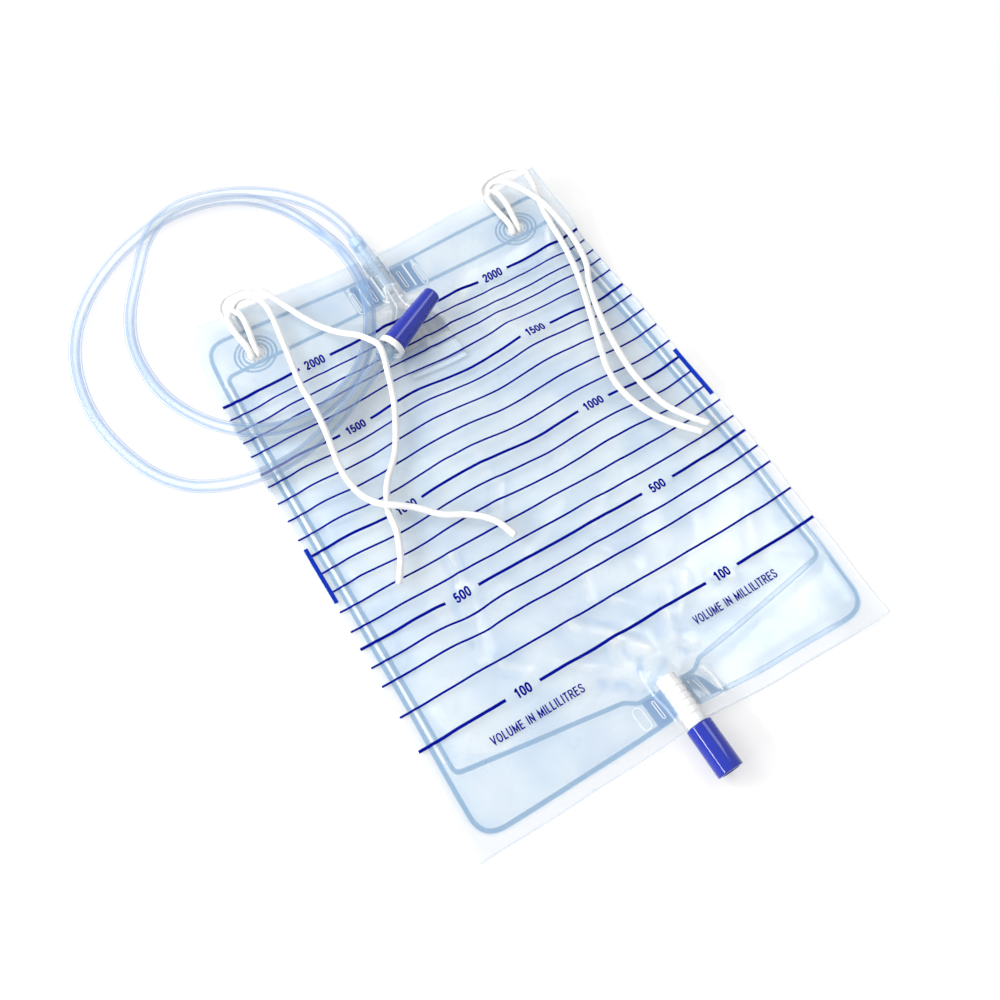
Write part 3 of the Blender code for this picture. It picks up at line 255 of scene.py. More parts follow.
class Shade:
    """Builds a Principled material step by step."""

    def __init__(self, name, color, rough, alpha=1.0, ior=1.5, coat=0.0):
        self.made = bpy.data.materials.new(name)
        self.made.use_nodes = True
        self.tree = self.made.node_tree
        self.shader = self.tree.nodes["Principled BSDF"]
        self.shader.inputs["Base Color"].default_value = (*linear(color), 1)
        self.shader.inputs["Roughness"].default_value = rough
        self.shader.inputs["Alpha"].default_value = alpha
        self.shader.inputs["IOR"].default_value = ior
        self.shader.inputs["Coat Weight"].default_value = coat
        self.shader.inputs["Coat Roughness"].default_value = 0.06
        self.made.diffuse_color = (*linear(color), alpha)

    def node(self, kind, **values):
        node = self.tree.nodes.new(kind)
        for key, value in values.items():
            if key in node.inputs.keys():
                node.inputs[key].default_value = value
            else:
                setattr(node, key, value)
        return node

    def link(self, start, end):
        self.tree.links.new(start, end)

    def coordinates(self):
        return self.node("ShaderNodeTexCoord").outputs["Object"]

    def noise(self, scale, detail=3.0, rough=0.5):
        node = self.node("ShaderNodeTexNoise", Scale=scale, Detail=detail, Roughness=rough)
        self.link(self.coordinates(), node.inputs["Vector"])
        return node.outputs["Fac"]

    def ramp(self, value, low, high, out_low=0.0, out_high=1.0):
        node = self.node("ShaderNodeMapRange", interpolation_type="SMOOTHSTEP")
        ends = {"From Min": low, "From Max": high, "To Min": out_low, "To Max": out_high}
        for key, number in ends.items():
            node.inputs[key].default_value = number
        self.link(value, node.inputs["Value"])
        return node.outputs["Result"]

    def attribute(self, name):
        return self.node("ShaderNodeAttribute", attribute_name=name).outputs["Fac"]

    def put(self, value, socket):
        """Sets a number or a colour on the socket, or links another socket to it."""
        if isinstance(value, tuple):
            socket.default_value = (*linear(value), 1)
        elif isinstance(value, (int, float)):
            socket.default_value = value
        else:
            self.link(value, socket)

    def math(self, operation, first, second):
        node = self.node("ShaderNodeMath", operation=operation)
        self.put(first, node.inputs[0])
        self.put(second, node.inputs[1])
        return node.outputs[0]

    def mix_color(self, factor, first, second):
        node = self.node("ShaderNodeMix", data_type="RGBA")
        for value, socket in ((factor, 0), (first, 6), (second, 7)):
            self.put(value, node.inputs[socket])
        return node.outputs[2]

    def mix_value(self, factor, first, second):
        node = self.node("ShaderNodeMix", data_type="FLOAT")
        for value, socket in ((factor, 0), (first, 2), (second, 3)):
            self.put(value, node.inputs[socket])
        return node.outputs[0]

    def opacity(self, value, shadow_share):
        """Sets the opacity, with a constant share for shadow rays."""
        shadow = self.node("ShaderNodeLightPath").outputs["Is Shadow Ray"]
        self.to("Alpha", self.mix_value(shadow, value, shadow_share))

    def to(self, socket, value):
        self.link(value, self.shader.inputs[socket])

    def bump(self, height, strength, distance):
        node = self.node("ShaderNodeBump", Strength=strength, Distance=distance)
        self.link(height, node.inputs["Height"])
        self.link(node.outputs["Normal"], self.shader.inputs["Normal"])


def film_material(name, alpha, strength=1.0):
    """Clear blue film: denser along its welds, with fine rings round the hanging holes, painted
    highlights on its crests and painted shade in its hollows.

    Alpha is the plain film's opacity, and strength is how much denser its marks are.
    """
    shade = Shade(name, (0.62, 0.82, 0.95), 0.2, alpha, ior=2.6)
    weld = shade.ramp(shade.attribute("weld"), -0.3, 0.3, 1.0, 0.0)
    tab = shade.ramp(shade.attribute("tab"), -0.25, 0.25, 1.0, 0.0)
    ring = shade.ramp(shade.math("PINGPONG", shade.attribute("hole"), 1.08), 0.46, 0.66, 1.0, 0.0)
    near = shade.ramp(shade.attribute("hole"), 11.5, 11.9, 1.0, 0.0)
    marks = shade.math("MAXIMUM", weld, shade.math("MULTIPLY", ring, near))
    cloud = shade.ramp(shade.noise(32.0, 3.0, 0.5), 0.36, 0.66)
    color = shade.mix_color(cloud, (0.56, 0.765, 0.93), (0.77, 0.895, 0.975))
    opacity = shade.ramp(shade.noise(22.0, 2.0), 0.3, 0.7, alpha * 0.8, alpha * 1.2)
    # Painted highlight and shade: crests of the sheet are mixed toward near white, hollows toward a
    # deeper blue.
    crest = shade.ramp(shade.attribute("crest"), 0.0, 0.18, 0.0, 0.85)
    hollow = shade.ramp(shade.attribute("crest"), -0.16, 0.0, 1.0, 0.0)
    # Painted highlight along the raised line between the two welds of each side.
    ridge_highlight = shade.ramp(shade.attribute("ridge_highlight"), 0.15, 0.7, 1.0, 0.0)
    layers = [
        (crest, (0.93, 0.97, 1.0), alpha * 1.5),
        (hollow, (0.46, 0.69, 0.90), alpha * 1.5),
        (shade.attribute("milky"), (0.97, 0.985, 1.0), alpha * 1.9),
        (shade.attribute("rim"), (0.86, 0.93, 0.99), alpha * 0.32),
        (marks, (0.37, 0.60, 0.77), min(1, alpha + 0.29 * strength)),
        (tab, (0.30, 0.50, 0.69), min(1, alpha + 0.5 * strength)),
        (ridge_highlight, (0.98, 0.99, 1.0), min(1, alpha + 0.25 * strength)),
    ]
    for share, tone, dense in layers:
        color = shade.mix_color(share, color, tone)
        opacity = shade.mix_value(share, opacity, dense)
    shade.to("Base Color", color)
    clear = shade.ramp(shade.attribute("clear"), -0.4, 0.6, 1.0, 0.0)
    opacity = shade.mix_value(clear, opacity, alpha * 0.06)
    cut = shade.ramp(shade.attribute("cut"), 0.2, 1.1, 1.0, 0.0)
    opacity = shade.mix_value(cut, opacity, min(1, alpha + 0.12 * strength))
    shade.opacity(opacity, alpha * 0.6)
    rough = shade.ramp(shade.noise(60.0, 2.0), 0.3, 0.7, 0.15, 0.28)
    shade.to("Roughness", shade.mix_value(tab, rough, 0.5))
    soft = shade.ramp(shade.noise(75.0, 1.0), 0.2, 0.8, 0.0, 0.5)
    shade.bump(shade.math("SUBTRACT", soft, marks), 0.35, 0.0002)
    return shade.made


def ink_material(name, color):
    """Matt printed ink."""
    shade = Shade(name, color, 0.5)
    shade.shader.inputs["Specular IOR Level"].default_value = 0.02
    patch = shade.ramp(shade.noise(900.0, 2.0), 0.35, 0.65)
    lighter = tuple(min(1, c * 1.12 + 0.015) for c in color)
    shade.to("Base Color", shade.mix_color(patch, color, lighter))
    shade.to("Roughness", shade.ramp(shade.noise(300.0), 0.3, 0.7, 0.4, 0.6))
    return shade.made


def tube_material(name, stops, shadow_share):
    """Clear soft plastic. Each stop from its middle to its edge has a place, a colour and an opacity."""
    shade = Shade(name, stops[0][1], 0.08, ior=1.7)
    facing = shade.node("ShaderNodeLayerWeight", Blend=0.5).outputs["Facing"]
    tint, cover = shade.node("ShaderNodeValToRGB"), shade.node("ShaderNodeValToRGB")
    for ramp, places in ((tint, [(at, (*linear(color), 1)) for at, color, _ in stops]),
                         (cover, [(at, (alpha, alpha, alpha, 1)) for at, _, alpha in stops])):
        while len(ramp.color_ramp.elements) < len(places):
            ramp.color_ramp.elements.new(0.5)
        for element, (at, value) in zip(ramp.color_ramp.elements, places):
            element.position, element.color = at, value
        shade.link(facing, ramp.inputs[0])
    shade.to("Base Color", tint.outputs["Color"])
    shade.opacity(cover.outputs["Color"], shadow_share)
    shade.to("Roughness", shade.ramp(shade.noise(50.0, 2.0), 0.3, 0.7, 0.05, 0.12))
    shade.bump(shade.noise(60.0, 1.0), 0.05, 0.0006)
    return shade.made


def leaf_material(name):
    """Thin valve film: nearly clear, milky in the flat patch at its free end."""
    shade = Shade(name, (0.93, 0.96, 0.985), 0.2, 0.07, ior=1.9)
    band = shade.ramp(shade.attribute("band"), -0.2, 0.2, 1.0, 0.0)
    seam = shade.ramp(shade.attribute("seam"), -0.2, 0.2, 1.0, 0.0)
    opacity = shade.mix_value(band, shade.ramp(shade.noise(60.0, 2.0), 0.3, 0.7, 0.02, 0.06), 0.62)
    opacity = shade.mix_value(seam, opacity, 0.8)
    shade.opacity(opacity, 0.02)
    shade.to("Base Color", shade.mix_color(seam, (0.95, 0.97, 1.0), (1.0, 1.0, 1.0)))
    shade.bump(shade.noise(120.0, 1.0), 0.2, 0.0003)
    return shade.made


def emboss_material(name):
    """Raised outline pressed into the welded tabs, coloured near white as a painted highlight."""
    shade = Shade(name, (0.97, 0.985, 1.0), 0.2, 0.95, ior=1.8)
    shade.to("Base Color", shade.mix_color(shade.ramp(shade.noise(300.0), 0.3, 0.7),
                                           (0.99, 0.995, 1.0), (0.92, 0.96, 0.99)))
    shade.to("Roughness", shade.ramp(shade.noise(220.0), 0.3, 0.7, 0.15, 0.3))
    return shade.made


def plastic_material(name, color, rough, coat, fleck, specular=0.5):
    """Moulded plastic with faint darker flecks."""
    shade = Shade(name, color, rough, coat=coat)
    shade.shader.inputs["Specular IOR Level"].default_value = specular
    patch = shade.ramp(shade.noise(240.0, 3.0), 0.35, 0.65)
    darker = tuple(max(0, c - fleck) for c in color)
    shade.to("Base Color", shade.mix_color(patch, color, darker))
    shade.to("Roughness", shade.ramp(shade.noise(500.0, 2.0), 0.3, 0.7, rough * 0.85, rough * 1.2))
    shade.bump(shade.noise(1500.0, 2.0), 0.05, 0.0002)
    return shade.made


def cord_material(name):
    """White twisted yarn."""
    shade = Shade(name, (0.975, 0.975, 0.965), 0.75)
    shade.shader.inputs["Subsurface Weight"].default_value = 0.6
    shade.shader.inputs["Subsurface Scale"].default_value = 0.001
    shade.shader.inputs["Subsurface Radius"].default_value = (1, 1, 1)
    shade.shader.inputs["Sheen Weight"].default_value = 0.3
    shade.shader.inputs["Sheen Roughness"].default_value = 0.5
    patch = shade.ramp(shade.noise(2600.0, 3.0), 0.35, 0.65)
    shade.to("Base Color", shade.mix_color(patch, (0.995, 0.995, 0.99), (0.955, 0.955, 0.95)))
    shade.bump(shade.noise(3800.0, 3.0), 0.35, 0.0003)
    return shade.made


film_outer = film_material("film_outer", 0.235)
film_inner = film_material("film_inner", 0.03, 0.2)
navy = ink_material("navy_ink_look", NAVY)
royal = ink_material("blue_ink_look", ROYAL)
# The stops paint the tube by viewing angle: the bluer edges are its tint through more plastic, and the
# near-white band at 0.56 is a painted highlight.
TUBE_STOPS = [(0.0, (0.88, 0.95, 1.0), 0.06), (0.16, (0.76, 0.88, 0.98), 0.08),
              (0.36, (0.42, 0.62, 0.86), 0.30), (0.47, (0.70, 0.84, 0.96), 0.20),
              (0.56, (0.98, 0.99, 1.0), 0.26), (0.70, (0.36, 0.54, 0.79), 0.54),
              (1.0, (0.44, 0.59, 0.80), 0.74)]
tube_look = tube_material("tube_look", TUBE_STOPS, 0.16)
PORT_STOPS = [(0.0, (0.84, 0.93, 1.0), 0.32), (0.45, (0.74, 0.88, 1.0), 0.32),
              (0.75, (0.55, 0.77, 0.98), 0.40), (1.0, (0.58, 0.79, 0.98), 0.5)]
port_look = tube_material("port_look", PORT_STOPS, 0.03)
white_look = plastic_material("white_plastic_look", (0.99, 0.99, 0.995), 0.34, 0.1, 0.015)
blue_look = plastic_material("blue_plastic_look", (0.02, 0.15, 0.66), 0.13, 0.6, 0.02, 0.25)
seal_look = plastic_material("seal_look", (0.84, 0.85, 0.87), 0.6, 0.0, 0.03)
leaf_look = leaf_material("leaf_look")
emboss_painted_highlight = emboss_material("emboss_painted_highlight")
cord_look = cord_material("cord_look")


# The sheets' shape

def step01(value):
    """Smooth step from 0 to 1."""
    value = np.clip(value, 0, 1)
    return value * value * (3 - 2 * value)


def lattice_noise(x, y, seed):
    """Smooth noise between -1 and 1 with one wave per unit."""
    random = np.random.RandomState(seed)
    turn = random.rand(64, 64) * 2 * math.pi
    gx, gy = np.cos(turn), np.sin(turn)
    xi, yi = np.floor(x).astype(int), np.floor(y).astype(int)
    fx, fy = x - xi, y - yi
    sx, sy = fx * fx * fx * (fx * (fx * 6 - 15) + 10), fy * fy * fy * (fy * (fy * 6 - 15) + 10)

    def corner(i, j):
        a, b = (xi + i) % 64, (yi + j) % 64
        return gx[a, b] * (fx - i) + gy[a, b] * (fy - j)

    low = corner(0, 0) * (1 - sx) + corner(1, 0) * sx
    high = corner(0, 1) * (1 - sx) + corner(1, 1) * sx
    return 1.5 * (low * (1 - sy) + high * sy)


def to_line(x, y, points, closed=False):
    """Distance to a line through points."""
    best = np.full(np.shape(x), 1e3)
    points = [np.array(p, float) for p in points]
    for a, b in zip(points, points[1:] + (points[:1] if closed else [])):
        d = b - a
        length = float(d @ d)
        if length < 1e-9:
            continue
        t = np.clip(((x - a[0]) * d[0] + (y - a[1]) * d[1]) / length, 0, 1)
        best = np.minimum(best, np.hypot(x - a[0] - t * d[0], y - a[1] - t * d[1]))
    return best


def inside(x, y, points):
    """Whether each place lies inside a closed outline."""
    found = np.zeros(np.shape(x), bool)
    for (x0, y0), (x1, y1) in zip(points, points[1:] + points[:1]):
        if y0 == y1:
            continue
        crosses = (y0 > y) != (y1 > y)
        found ^= crosses & (x < x0 + (y - y0) * (x1 - x0) / (y1 - y0))
    return found


def rounded(corners, reach, share, steps, sharp=None):
    """A closed outline with its corners rounded.

    A curve starts reach(half the corner's angle) before its corner, at most that share of its sides.
    """
    corners = [np.array(c, float) for c in corners]
    points = []
    for k, here in enumerate(corners):
        into, away = corners[k - 1] - here, corners[(k + 1) % len(corners)] - here
        into_length, away_length = np.linalg.norm(into), np.linalg.norm(away)
        if min(into_length, away_length) < 1e-6 or (sharp and sharp(here)):
            points.append((float(here[0]), float(here[1])))
            continue
        half = math.acos(np.clip(into @ away / into_length / away_length, -1, 1)) / 2
        back = min(reach(half), into_length * share, away_length * share)
        start, end = here + into / into_length * back, here + away / away_length * back
        for step in range(steps + 1):
            s = step / steps
            point = (1 - s) ** 2 * start + 2 * s * (1 - s) * here + s * s * end
            points.append((float(point[0]), float(point[1])))
    return points


def rounded_weld(corners, radius):
    """A weld line with corners of one radius."""
    return rounded(corners, lambda half: radius / math.tan(half), 1 / 3, 8)


SIDE_OUT, SIDE_IN = HALF_WIDTH - 5.8, HALF_WIDTH - 9.3
WELD_TOP, WELD_BOTTOM, POCKET_BOTTOM = TOP - 13.5, BOTTOM + 7.5, TOP - 35.5
OUTER = rounded_weld([(-SIDE_OUT, WELD_TOP), (SIDE_OUT, WELD_TOP), (SIDE_OUT, WELD_BOTTOM),
                      (-SIDE_OUT, WELD_BOTTOM)], 11)
INNER = rounded_weld([(-SIDE_IN, POCKET_BOTTOM), (SIDE_IN, POCKET_BOTTOM), (SIDE_IN, BOTTOM + 36),
                      (20, BOTTOM + 25), (14.5, BOTTOM + 21), (-14.5, BOTTOM + 21), (-20, BOTTOM + 25),
                      (-SIDE_IN, BOTTOM + 36)], 4)
POCKET_LINES = [[(side * 20.5, POCKET_BOTTOM), (side * 20.5, WELD_TOP)] for side in (-1, 1)]


def box_distance(x, y, left, right, low, high):
    """Signed distance to a box, negative inside."""
    dx = np.maximum(left - x, x - right)
    dy = np.maximum(low - y, y - high)
    outside = np.hypot(np.maximum(dx, 0), np.maximum(dy, 0))
    return outside + np.minimum(np.maximum(dx, dy), 0)


def polygon_distance(x, y, points):
    """Signed distance to a closed outline, negative inside."""
    far = to_line(x, y, points, closed=True)
    return np.where(inside(x, y, points), -far, far)


# The right lower tab is folded: its dark part, and the crease beside it
FOLDED_TAB = [(12.6, BOTTOM + 20.4), (15.6, BOTTOM + 16.0), (18.4, BOTTOM + 7.6), (13.8, BOTTOM + 7.8)]
TAB_CREASE = [(18.6, BOTTOM + 20.6), (19.7, BOTTOM + 15), (19.2, BOTTOM + 7.4)]


def tab_distance(x, y):
    """Signed distance to the dark welded tabs beside the inlet port and the spout."""
    boxes = [
        (5.7, 13.0, TOP - 34.5, TOP - 15), (14.2, 18.0, TOP - 36, TOP - 15.5),
        (-13.0, -5.7, TOP - 34.5, TOP - 15), (-18.0, -14.2, TOP - 36, TOP - 15.5),
        (-13.6, -5.2, BOTTOM + 7.0, BOTTOM + 20.5),
    ]
    best = polygon_distance(x, y, FOLDED_TAB)
    for box in boxes:
        best = np.minimum(best, box_distance(x, y, *box))
    return best


def clear_distance(x, y):
    """Signed distance to where the film is stretched clear over the port and the spout."""
    over_spout = box_distance(x, y, -4.9, 4.9, BOTTOM - 5, SPOUT_INNER + 0.5)
    over_port = box_distance(x, y, -5.0, 5.0, PORT_INNER - 1.0, TOP + 5)
    return np.minimum(over_spout, over_port)


def hole_distance(x, y):
    """Distance to the middle of the nearest hanging hole."""
    return np.minimum(*(np.hypot(x - hole_x, y - hole_y) for hole_x, hole_y in HOLES))


def weld_distance(x, y):
    """Signed distance to the nearest weld line, negative on it."""
    best = to_line(x, y, OUTER, closed=True) - 1.05
    best = np.minimum(best, to_line(x, y, INNER, closed=True) - 1.05)
    for line in POCKET_LINES:
        best = np.minimum(best, to_line(x, y, line) - 0.7)
    best = np.maximum(best, 6.3 - np.abs(x))
    return np.minimum(best, box_distance(x, y, 5.2, 12.6, BOTTOM + 7.0, BOTTOM + 20.0))


def lying(x, y):
    """Underside of the rear sheet where no port passes."""
    band = 4.6 * step01((y - (TOP - 55.5)) / 17.6)
    foot = 5.0 * np.exp(-((x / 26.0) ** 2)) * step01((BOTTOM + 34.5 - y) / 34.5)
    side = np.maximum(0, 1 - (HALF_WIDTH - x) / 22.0)
    right = np.maximum(0, 1 - (HALF_WIDTH - x) / 34.0)
    height = band + foot + 1.3 * side * side + 2.2 * right * right
    for corner_x, corner_y in ((-HALF_WIDTH, TOP), (HALF_WIDTH, TOP), (HALF_WIDTH, BOTTOM)):
        near = np.maximum(0, 1 - np.hypot(x - corner_x, y - corner_y) / 30.0)
        height = height + 2.2 * near * near
    return height


def wrap(x, y):
    """How the film goes round the nearer pipe: the pipe's axis height, half height there, and share."""
    inlet = step01(1 - (PORT_INNER - y) / 13.0)
    outlet = step01(1 - (y - SPOUT_INNER) / 13.0)
    use_inlet = inlet >= outlet
    axis = np.where(use_inlet, PORT_AXIS, SPOUT_AXIS)
    share = np.where(use_inlet, inlet, outlet)
    half = np.sqrt(np.maximum(0, PORT_HOLD ** 2 - x * x))
    return axis, half, share


def rear_under(x, y):
    """Underside of the rear sheet."""
    base = lying(x, y)
    axis, half, share = wrap(x, y)
    share = np.where(np.abs(x) < PORT_HOLD, share, 0)
    return base + (np.minimum(base, axis - half - FILM) - base) * share


# Folds of the front sheet, in millimetres: points (x, y) along the crest, its height and half width
FOLDS = [
    ([(-23, 77.6), (-5, 11.6)], 0.9, 10), ([(46, 71.6), (50, 15.6)], 0.7, 8),
    ([(72, 62.6), (66, -2.4)], 0.6, 9), ([(-3, 41.6), (-24, 0.6)], 0.7, 6),
    ([(-19.5, -13.5), (-10.5, -0.5)], 0.7, 2.6), ([(-19, -34.4), (7, -21.6)], 0.6, 4.0),
    ([(15.5, -37.2), (31, -24.6)], 0.6, 3.4), ([(42, -28), (47.5, -9.4)], 0.6, 4.0),
    ([(-48.3, -20.4), (-49.5, -28), (-51, -36)], 0.9, 2.4),
    ([(-51, -36), (-53.5, -46), (-56.7, -59), (-61, -70)], 0.9, 3.2),
    ([(-66.4, -39.6), (-62, -55)], 0.8, 3.6), ([(-55, -77), (-47, -84.4)], 0.8, 2.6),
    ([(-36, -46.6), (-25, -69), (-19, -82.6), (-8, -91)], 0.9, 4.0),
    ([(-19, -77.4), (-8, -88), (1.7, -102.4)], 1.1, 3.2),
    ([(-9, -94), (-12, -104), (-8, -114)], 0.7, 3.0), ([(3, -77), (11.4, -86), (17, -91.3)], 0.9, 4.0),
    ([(-2.6, -98.6), (1.6, -104), (-4, -112)], 0.6, 2.8), ([(17, -105), (26, -115.4)], 0.7, 2.6),
    ([(58.6, -60.6), (51.7, -71.6), (39, -80)], 0.8, 4.0), ([(25, -96), (39, -82.6)], 0.8, 3.0),
    ([(49, -88.4), (57, -94)], 0.6, 2.6), ([(43, 117.0), (30, 104), (19.7, 94.4)], 0.8, 4.6),
    ([(49, 98.4), (42, 82)], 0.6, 3.0), ([(39, 79), (45, 70.4), (56, 59.4)], 0.7, 3.4),
    ([(-41, 52.4), (-46, 36)], 0.5, 4.0), ([(-10.8, 17.8), (-13, 6)], 0.5, 2.6),
    ([(-25, 118), (-11, 113)], 0.6, 2.4), ([(7.5, 118), (13, 108), (17, 92)], 0.9, 2.6),
    ([(-8, 117), (-13, 107), (-16.5, 92)], 0.9, 2.6), ([(1, 112), (2.5, 96), (1, 84)], 0.7, 2.0),
    ([(-76, -42), (-62, -87)], 0.6, 6.0), ([(84, 107), (74, 60)], 0.6, 7.0),
    ([(24, 90), (46, 84)], 0.5, 5.0), ([(-30, 20), (-46, -8)], 0.6, 6.0),
    ([(57, -27), (36, -52)], 0.6, 6.0), ([(8, -47), (22, -66)], 0.6, 3.4),
    ([(-86, 58), (-80, 10)], 0.5, 6.0), ([(13, -104), (27, -84)], 0.7, 2.6),
    ([(-14, -106), (-34, -88)], 0.8, 3.0), ([(-6, -70), (-1, -58)], 0.6, 2.4),
    ([(70, -90), (86, -66)], 0.6, 4.0), ([(-90, -80), (-80, -104)], 0.5, 4.0),
]


def folds(x, y):
    """Height of the listed folds."""
    total = np.zeros(np.shape(x))
    for number, (points, height, width) in enumerate(FOLDS):
        far = to_line(x, y, points) / width
        sway = 1 + 0.2 * lattice_noise(x / 14.0, y / 14.0, 40 + number)
        total = total + height * np.exp(-(np.sqrt((far * sway) ** 2 + 0.05) - 0.22) ** 1.7)
    return total


def crumple(x, y):
    """Soft random buckling of the film."""
    warp_x = x + 9 * lattice_noise(x / 38.0, y / 38.0, 3)
    warp_y = y + 9 * lattice_noise(x / 38.0, y / 38.0, 4)
    broad = lattice_noise(warp_x / 36.0, warp_y / 52.0, 5)
    long = lattice_noise((warp_x + 0.35 * warp_y) / 19.0, warp_y / 40.0, 6)
    soft = lattice_noise((warp_x - 0.3 * warp_y) / 10.5, warp_y / 17.0, 7)
    near_outlet = np.exp(-(np.hypot(x, y - BOTTOM - 32) / 48.0) ** 2)
    fold = lattice_noise((warp_x + 0.6 * warp_y) / 17.0, (warp_y - 0.6 * warp_x) / 14.0, 9)
    crease = 0.42 - np.sqrt(fold * fold + 0.03)
    silk = lattice_noise((warp_x + 0.2 * warp_y) / 13.0, (warp_y - 0.5 * warp_x) / 26.0, 12)
    near_port = np.exp(-(np.hypot(x, y - PORT_INNER + 6) / 22.0) ** 2)
    fine = lattice_noise((warp_x + 0.4 * y) / 6.0, (warp_y - 0.3 * x) / 9.0, 11)
    return (0.6 * broad + 0.36 * long + 0.32 * silk + (0.18 + 0.14 * near_outlet) * soft
            + 0.6 * near_outlet * crease + near_port * (0.4 * crease + 0.22 * fine))


def weld_fade(x, y):
    """Distance to what holds the two sheets together, with the tabs and ring pads."""
    held = to_line(x, y, OUTER, closed=True) - 1
    held = np.minimum(held, to_line(x, y, INNER, closed=True) - 1)
    held = np.minimum(held, np.maximum(tab_distance(x, y), 0))
    for hole_x, hole_y in HOLES:
        held = np.minimum(held, np.hypot(x - hole_x, y - hole_y) - 12.5)
    return np.maximum(held, 0)


def front_top(x, y, over_ports=True):
    """Top of the front sheet, with or without its tents over the ports."""
    far = weld_fade(x, y)
    body = inside(x, y, INNER)
    open_room = 1.9 * step01(far / 22.0)
    crease = np.exp(-(to_line(x, y, TAB_CREASE) / 0.9) ** 2)
    beside = step01((18.6 - np.abs(x)) / 3.9) * step01((y - (PORT_INNER - 60)) / 6.0)
    valve_room = 1.4 * step01(far / 6.0) * beside
    wrinkle = np.clip(folds(x, y) * 0.9 + crumple(x, y) * 0.9, -0.6, 1.7)
    room_in = np.maximum(open_room, valve_room) + wrinkle * step01(far / 7.0)
    calm = 1 - 0.7 * step01(polygon_distance(x, y, OUTER) / 1.5)
    room_out = 0.45 * step01(far / 7.0) + 0.28 * calm * crumple(x, y) * step01(far / 5.0)
    between = np.exp(-((np.abs(x) - (SIDE_OUT + SIDE_IN) / 2) / 1.1) ** 2)
    between = between * step01((y - BOTTOM - 30) / 10) * step01((TOP - 32 - y) / 10)
    room = 0.4 + np.maximum(0.0, np.where(body, room_in, room_out)) + 0.30 * between + 0.8 * crease
    base = lying(x, y) + FILM + room
    if not over_ports:
        return base + FILM
    axis, half, share = wrap(x, y)
    tangent = PORT_HOLD * math.sin(math.radians(TENT_ANGLE))
    slope = math.tan(math.radians(TENT_ANGLE))
    tent = PORT_HOLD * math.cos(math.radians(TENT_ANGLE)) - slope * (np.abs(x) - tangent)
    over = axis + np.where(np.abs(x) < tangent, half, tent)
    return base + (np.maximum(base, over) - base) * share + FILM


# In-plane drift of the crumpled film, in millimetres: one row for each height, one column for each place
# across. The film is drawn in a little on the right, most of all at its lower corner.
DRIFT_X = [-105.0, -50.0, 0.0, 50.0, 105.0]
DRIFT_Y = [BOTTOM, -96.0, -42.0, 12.0, 66.0, 102.0, TOP]
DRIFT_ACROSS = [[0, 0, 0, -3.0, -5.6], [0, 0, 0, -3.3, -2.5], [0, 0, 0, -1.8, -0.5], [0, 0, 0, -2.0, 0],
                [0, 0, 0, -2.5, 0], [0, 0, 0, -2.5, 0], [0, 0, 0, -0.5, 0]]
DRIFT_ALONG = [[0, 0, 0, -2.4, -4.1], [0, -0.6, -1.4, -1.8, -1.4], [0.8, -0.5, -0.9, -1.5, 0.7],
               [0.3, -0.2, 0.2, -0.4, 0.5], [0, 0, 0.9, 1.3, 2.3], [0.3, 0.6, 1.0, 1.3, 2.4],
               [0, 0, 0, 0.5, 0]]


def drift(x, y, table):
    """Smooth value between the table's places."""
    table = np.array(table, float)
    i = np.clip(np.searchsorted(DRIFT_X, x) - 1, 0, len(DRIFT_X) - 2)
    j = np.clip(np.searchsorted(DRIFT_Y, y) - 1, 0, len(DRIFT_Y) - 2)
    xs, ys = np.array(DRIFT_X), np.array(DRIFT_Y)
    a, b = step01((x - xs[i]) / (xs[i + 1] - xs[i])), step01((y - ys[j]) / (ys[j + 1] - ys[j]))
    low = table[j, i] * (1 - a) + table[j, i + 1] * a
    high = table[j + 1, i] * (1 - a) + table[j + 1, i + 1] * a
    return low * (1 - b) + high * b


def edge_sway(x, y):
    """How far the film's print and rim lie off their straight lines, in the sheet's plane."""
    dip = -4.6 * np.exp(-((x - 4) / 52.0) ** 2) * step01((y - (TOP - 34)) / 34.0)
    wave = 1.0 * np.cos(2 * math.pi * (x + 25) / 76.0) * step01((y + 22) / 16.0) * step01((86 - y) / 20.0)
    left = -1.5 * np.exp(-((x + 55) / 9.0) ** 2 - ((y + 52) / 13.0) ** 2)
    fall = step01((HALF_WIDTH - np.abs(x)) / 25.0)
    shift_y = dip + (wave + left) * fall
    rim = np.maximum(0, 1 - (HALF_WIDTH - np.abs(x)) / 12.0)
    shift_x = np.sign(x) * rim * (0.7 * lattice_noise(y / 46.0 + (x > 0) * 7.3, y * 0, 21) - 0.3)
    corner = np.maximum(0, (y - (TOP - 50)) / 50.0) ** 2
    shift_x = shift_x + 4.0 * corner * step01((-x - 20) / 85.0) + 1.6 * step01((x + 10) / 100.0)
    rim_y = np.maximum(0, 1 - np.minimum(TOP - y, y - BOTTOM) / 12.0)
    shift_y = shift_y + rim_y * 0.5 * lattice_noise(x / 40.0, x * 0 + (y > 0) * 5.1, 22)
    shift_y = shift_y + 1.6 * corner * step01((-x - 60) / 45.0)
    return shift_x + drift(x, y, DRIFT_ACROSS), shift_y + drift(x, y, DRIFT_ALONG)


def rim_share(x, y):
    """Share of the clearer film outside the outer weld, clearest low down."""
    low = 0.25 + 0.7 * step01((60 - y) / 120.0)
    right = 0.85 * step01((x - 70) / 20.0) * step01((50 - y) / 60.0)
    return step01((polygon_distance(x, y, OUTER) - 0.8) / 1.6) * np.maximum(low, right)


def cut_distance(x, y):
    """Distance from the film's cut edge."""
    return np.minimum(HALF_WIDTH - np.abs(x), np.minimum(TOP - y, y - BOTTOM))


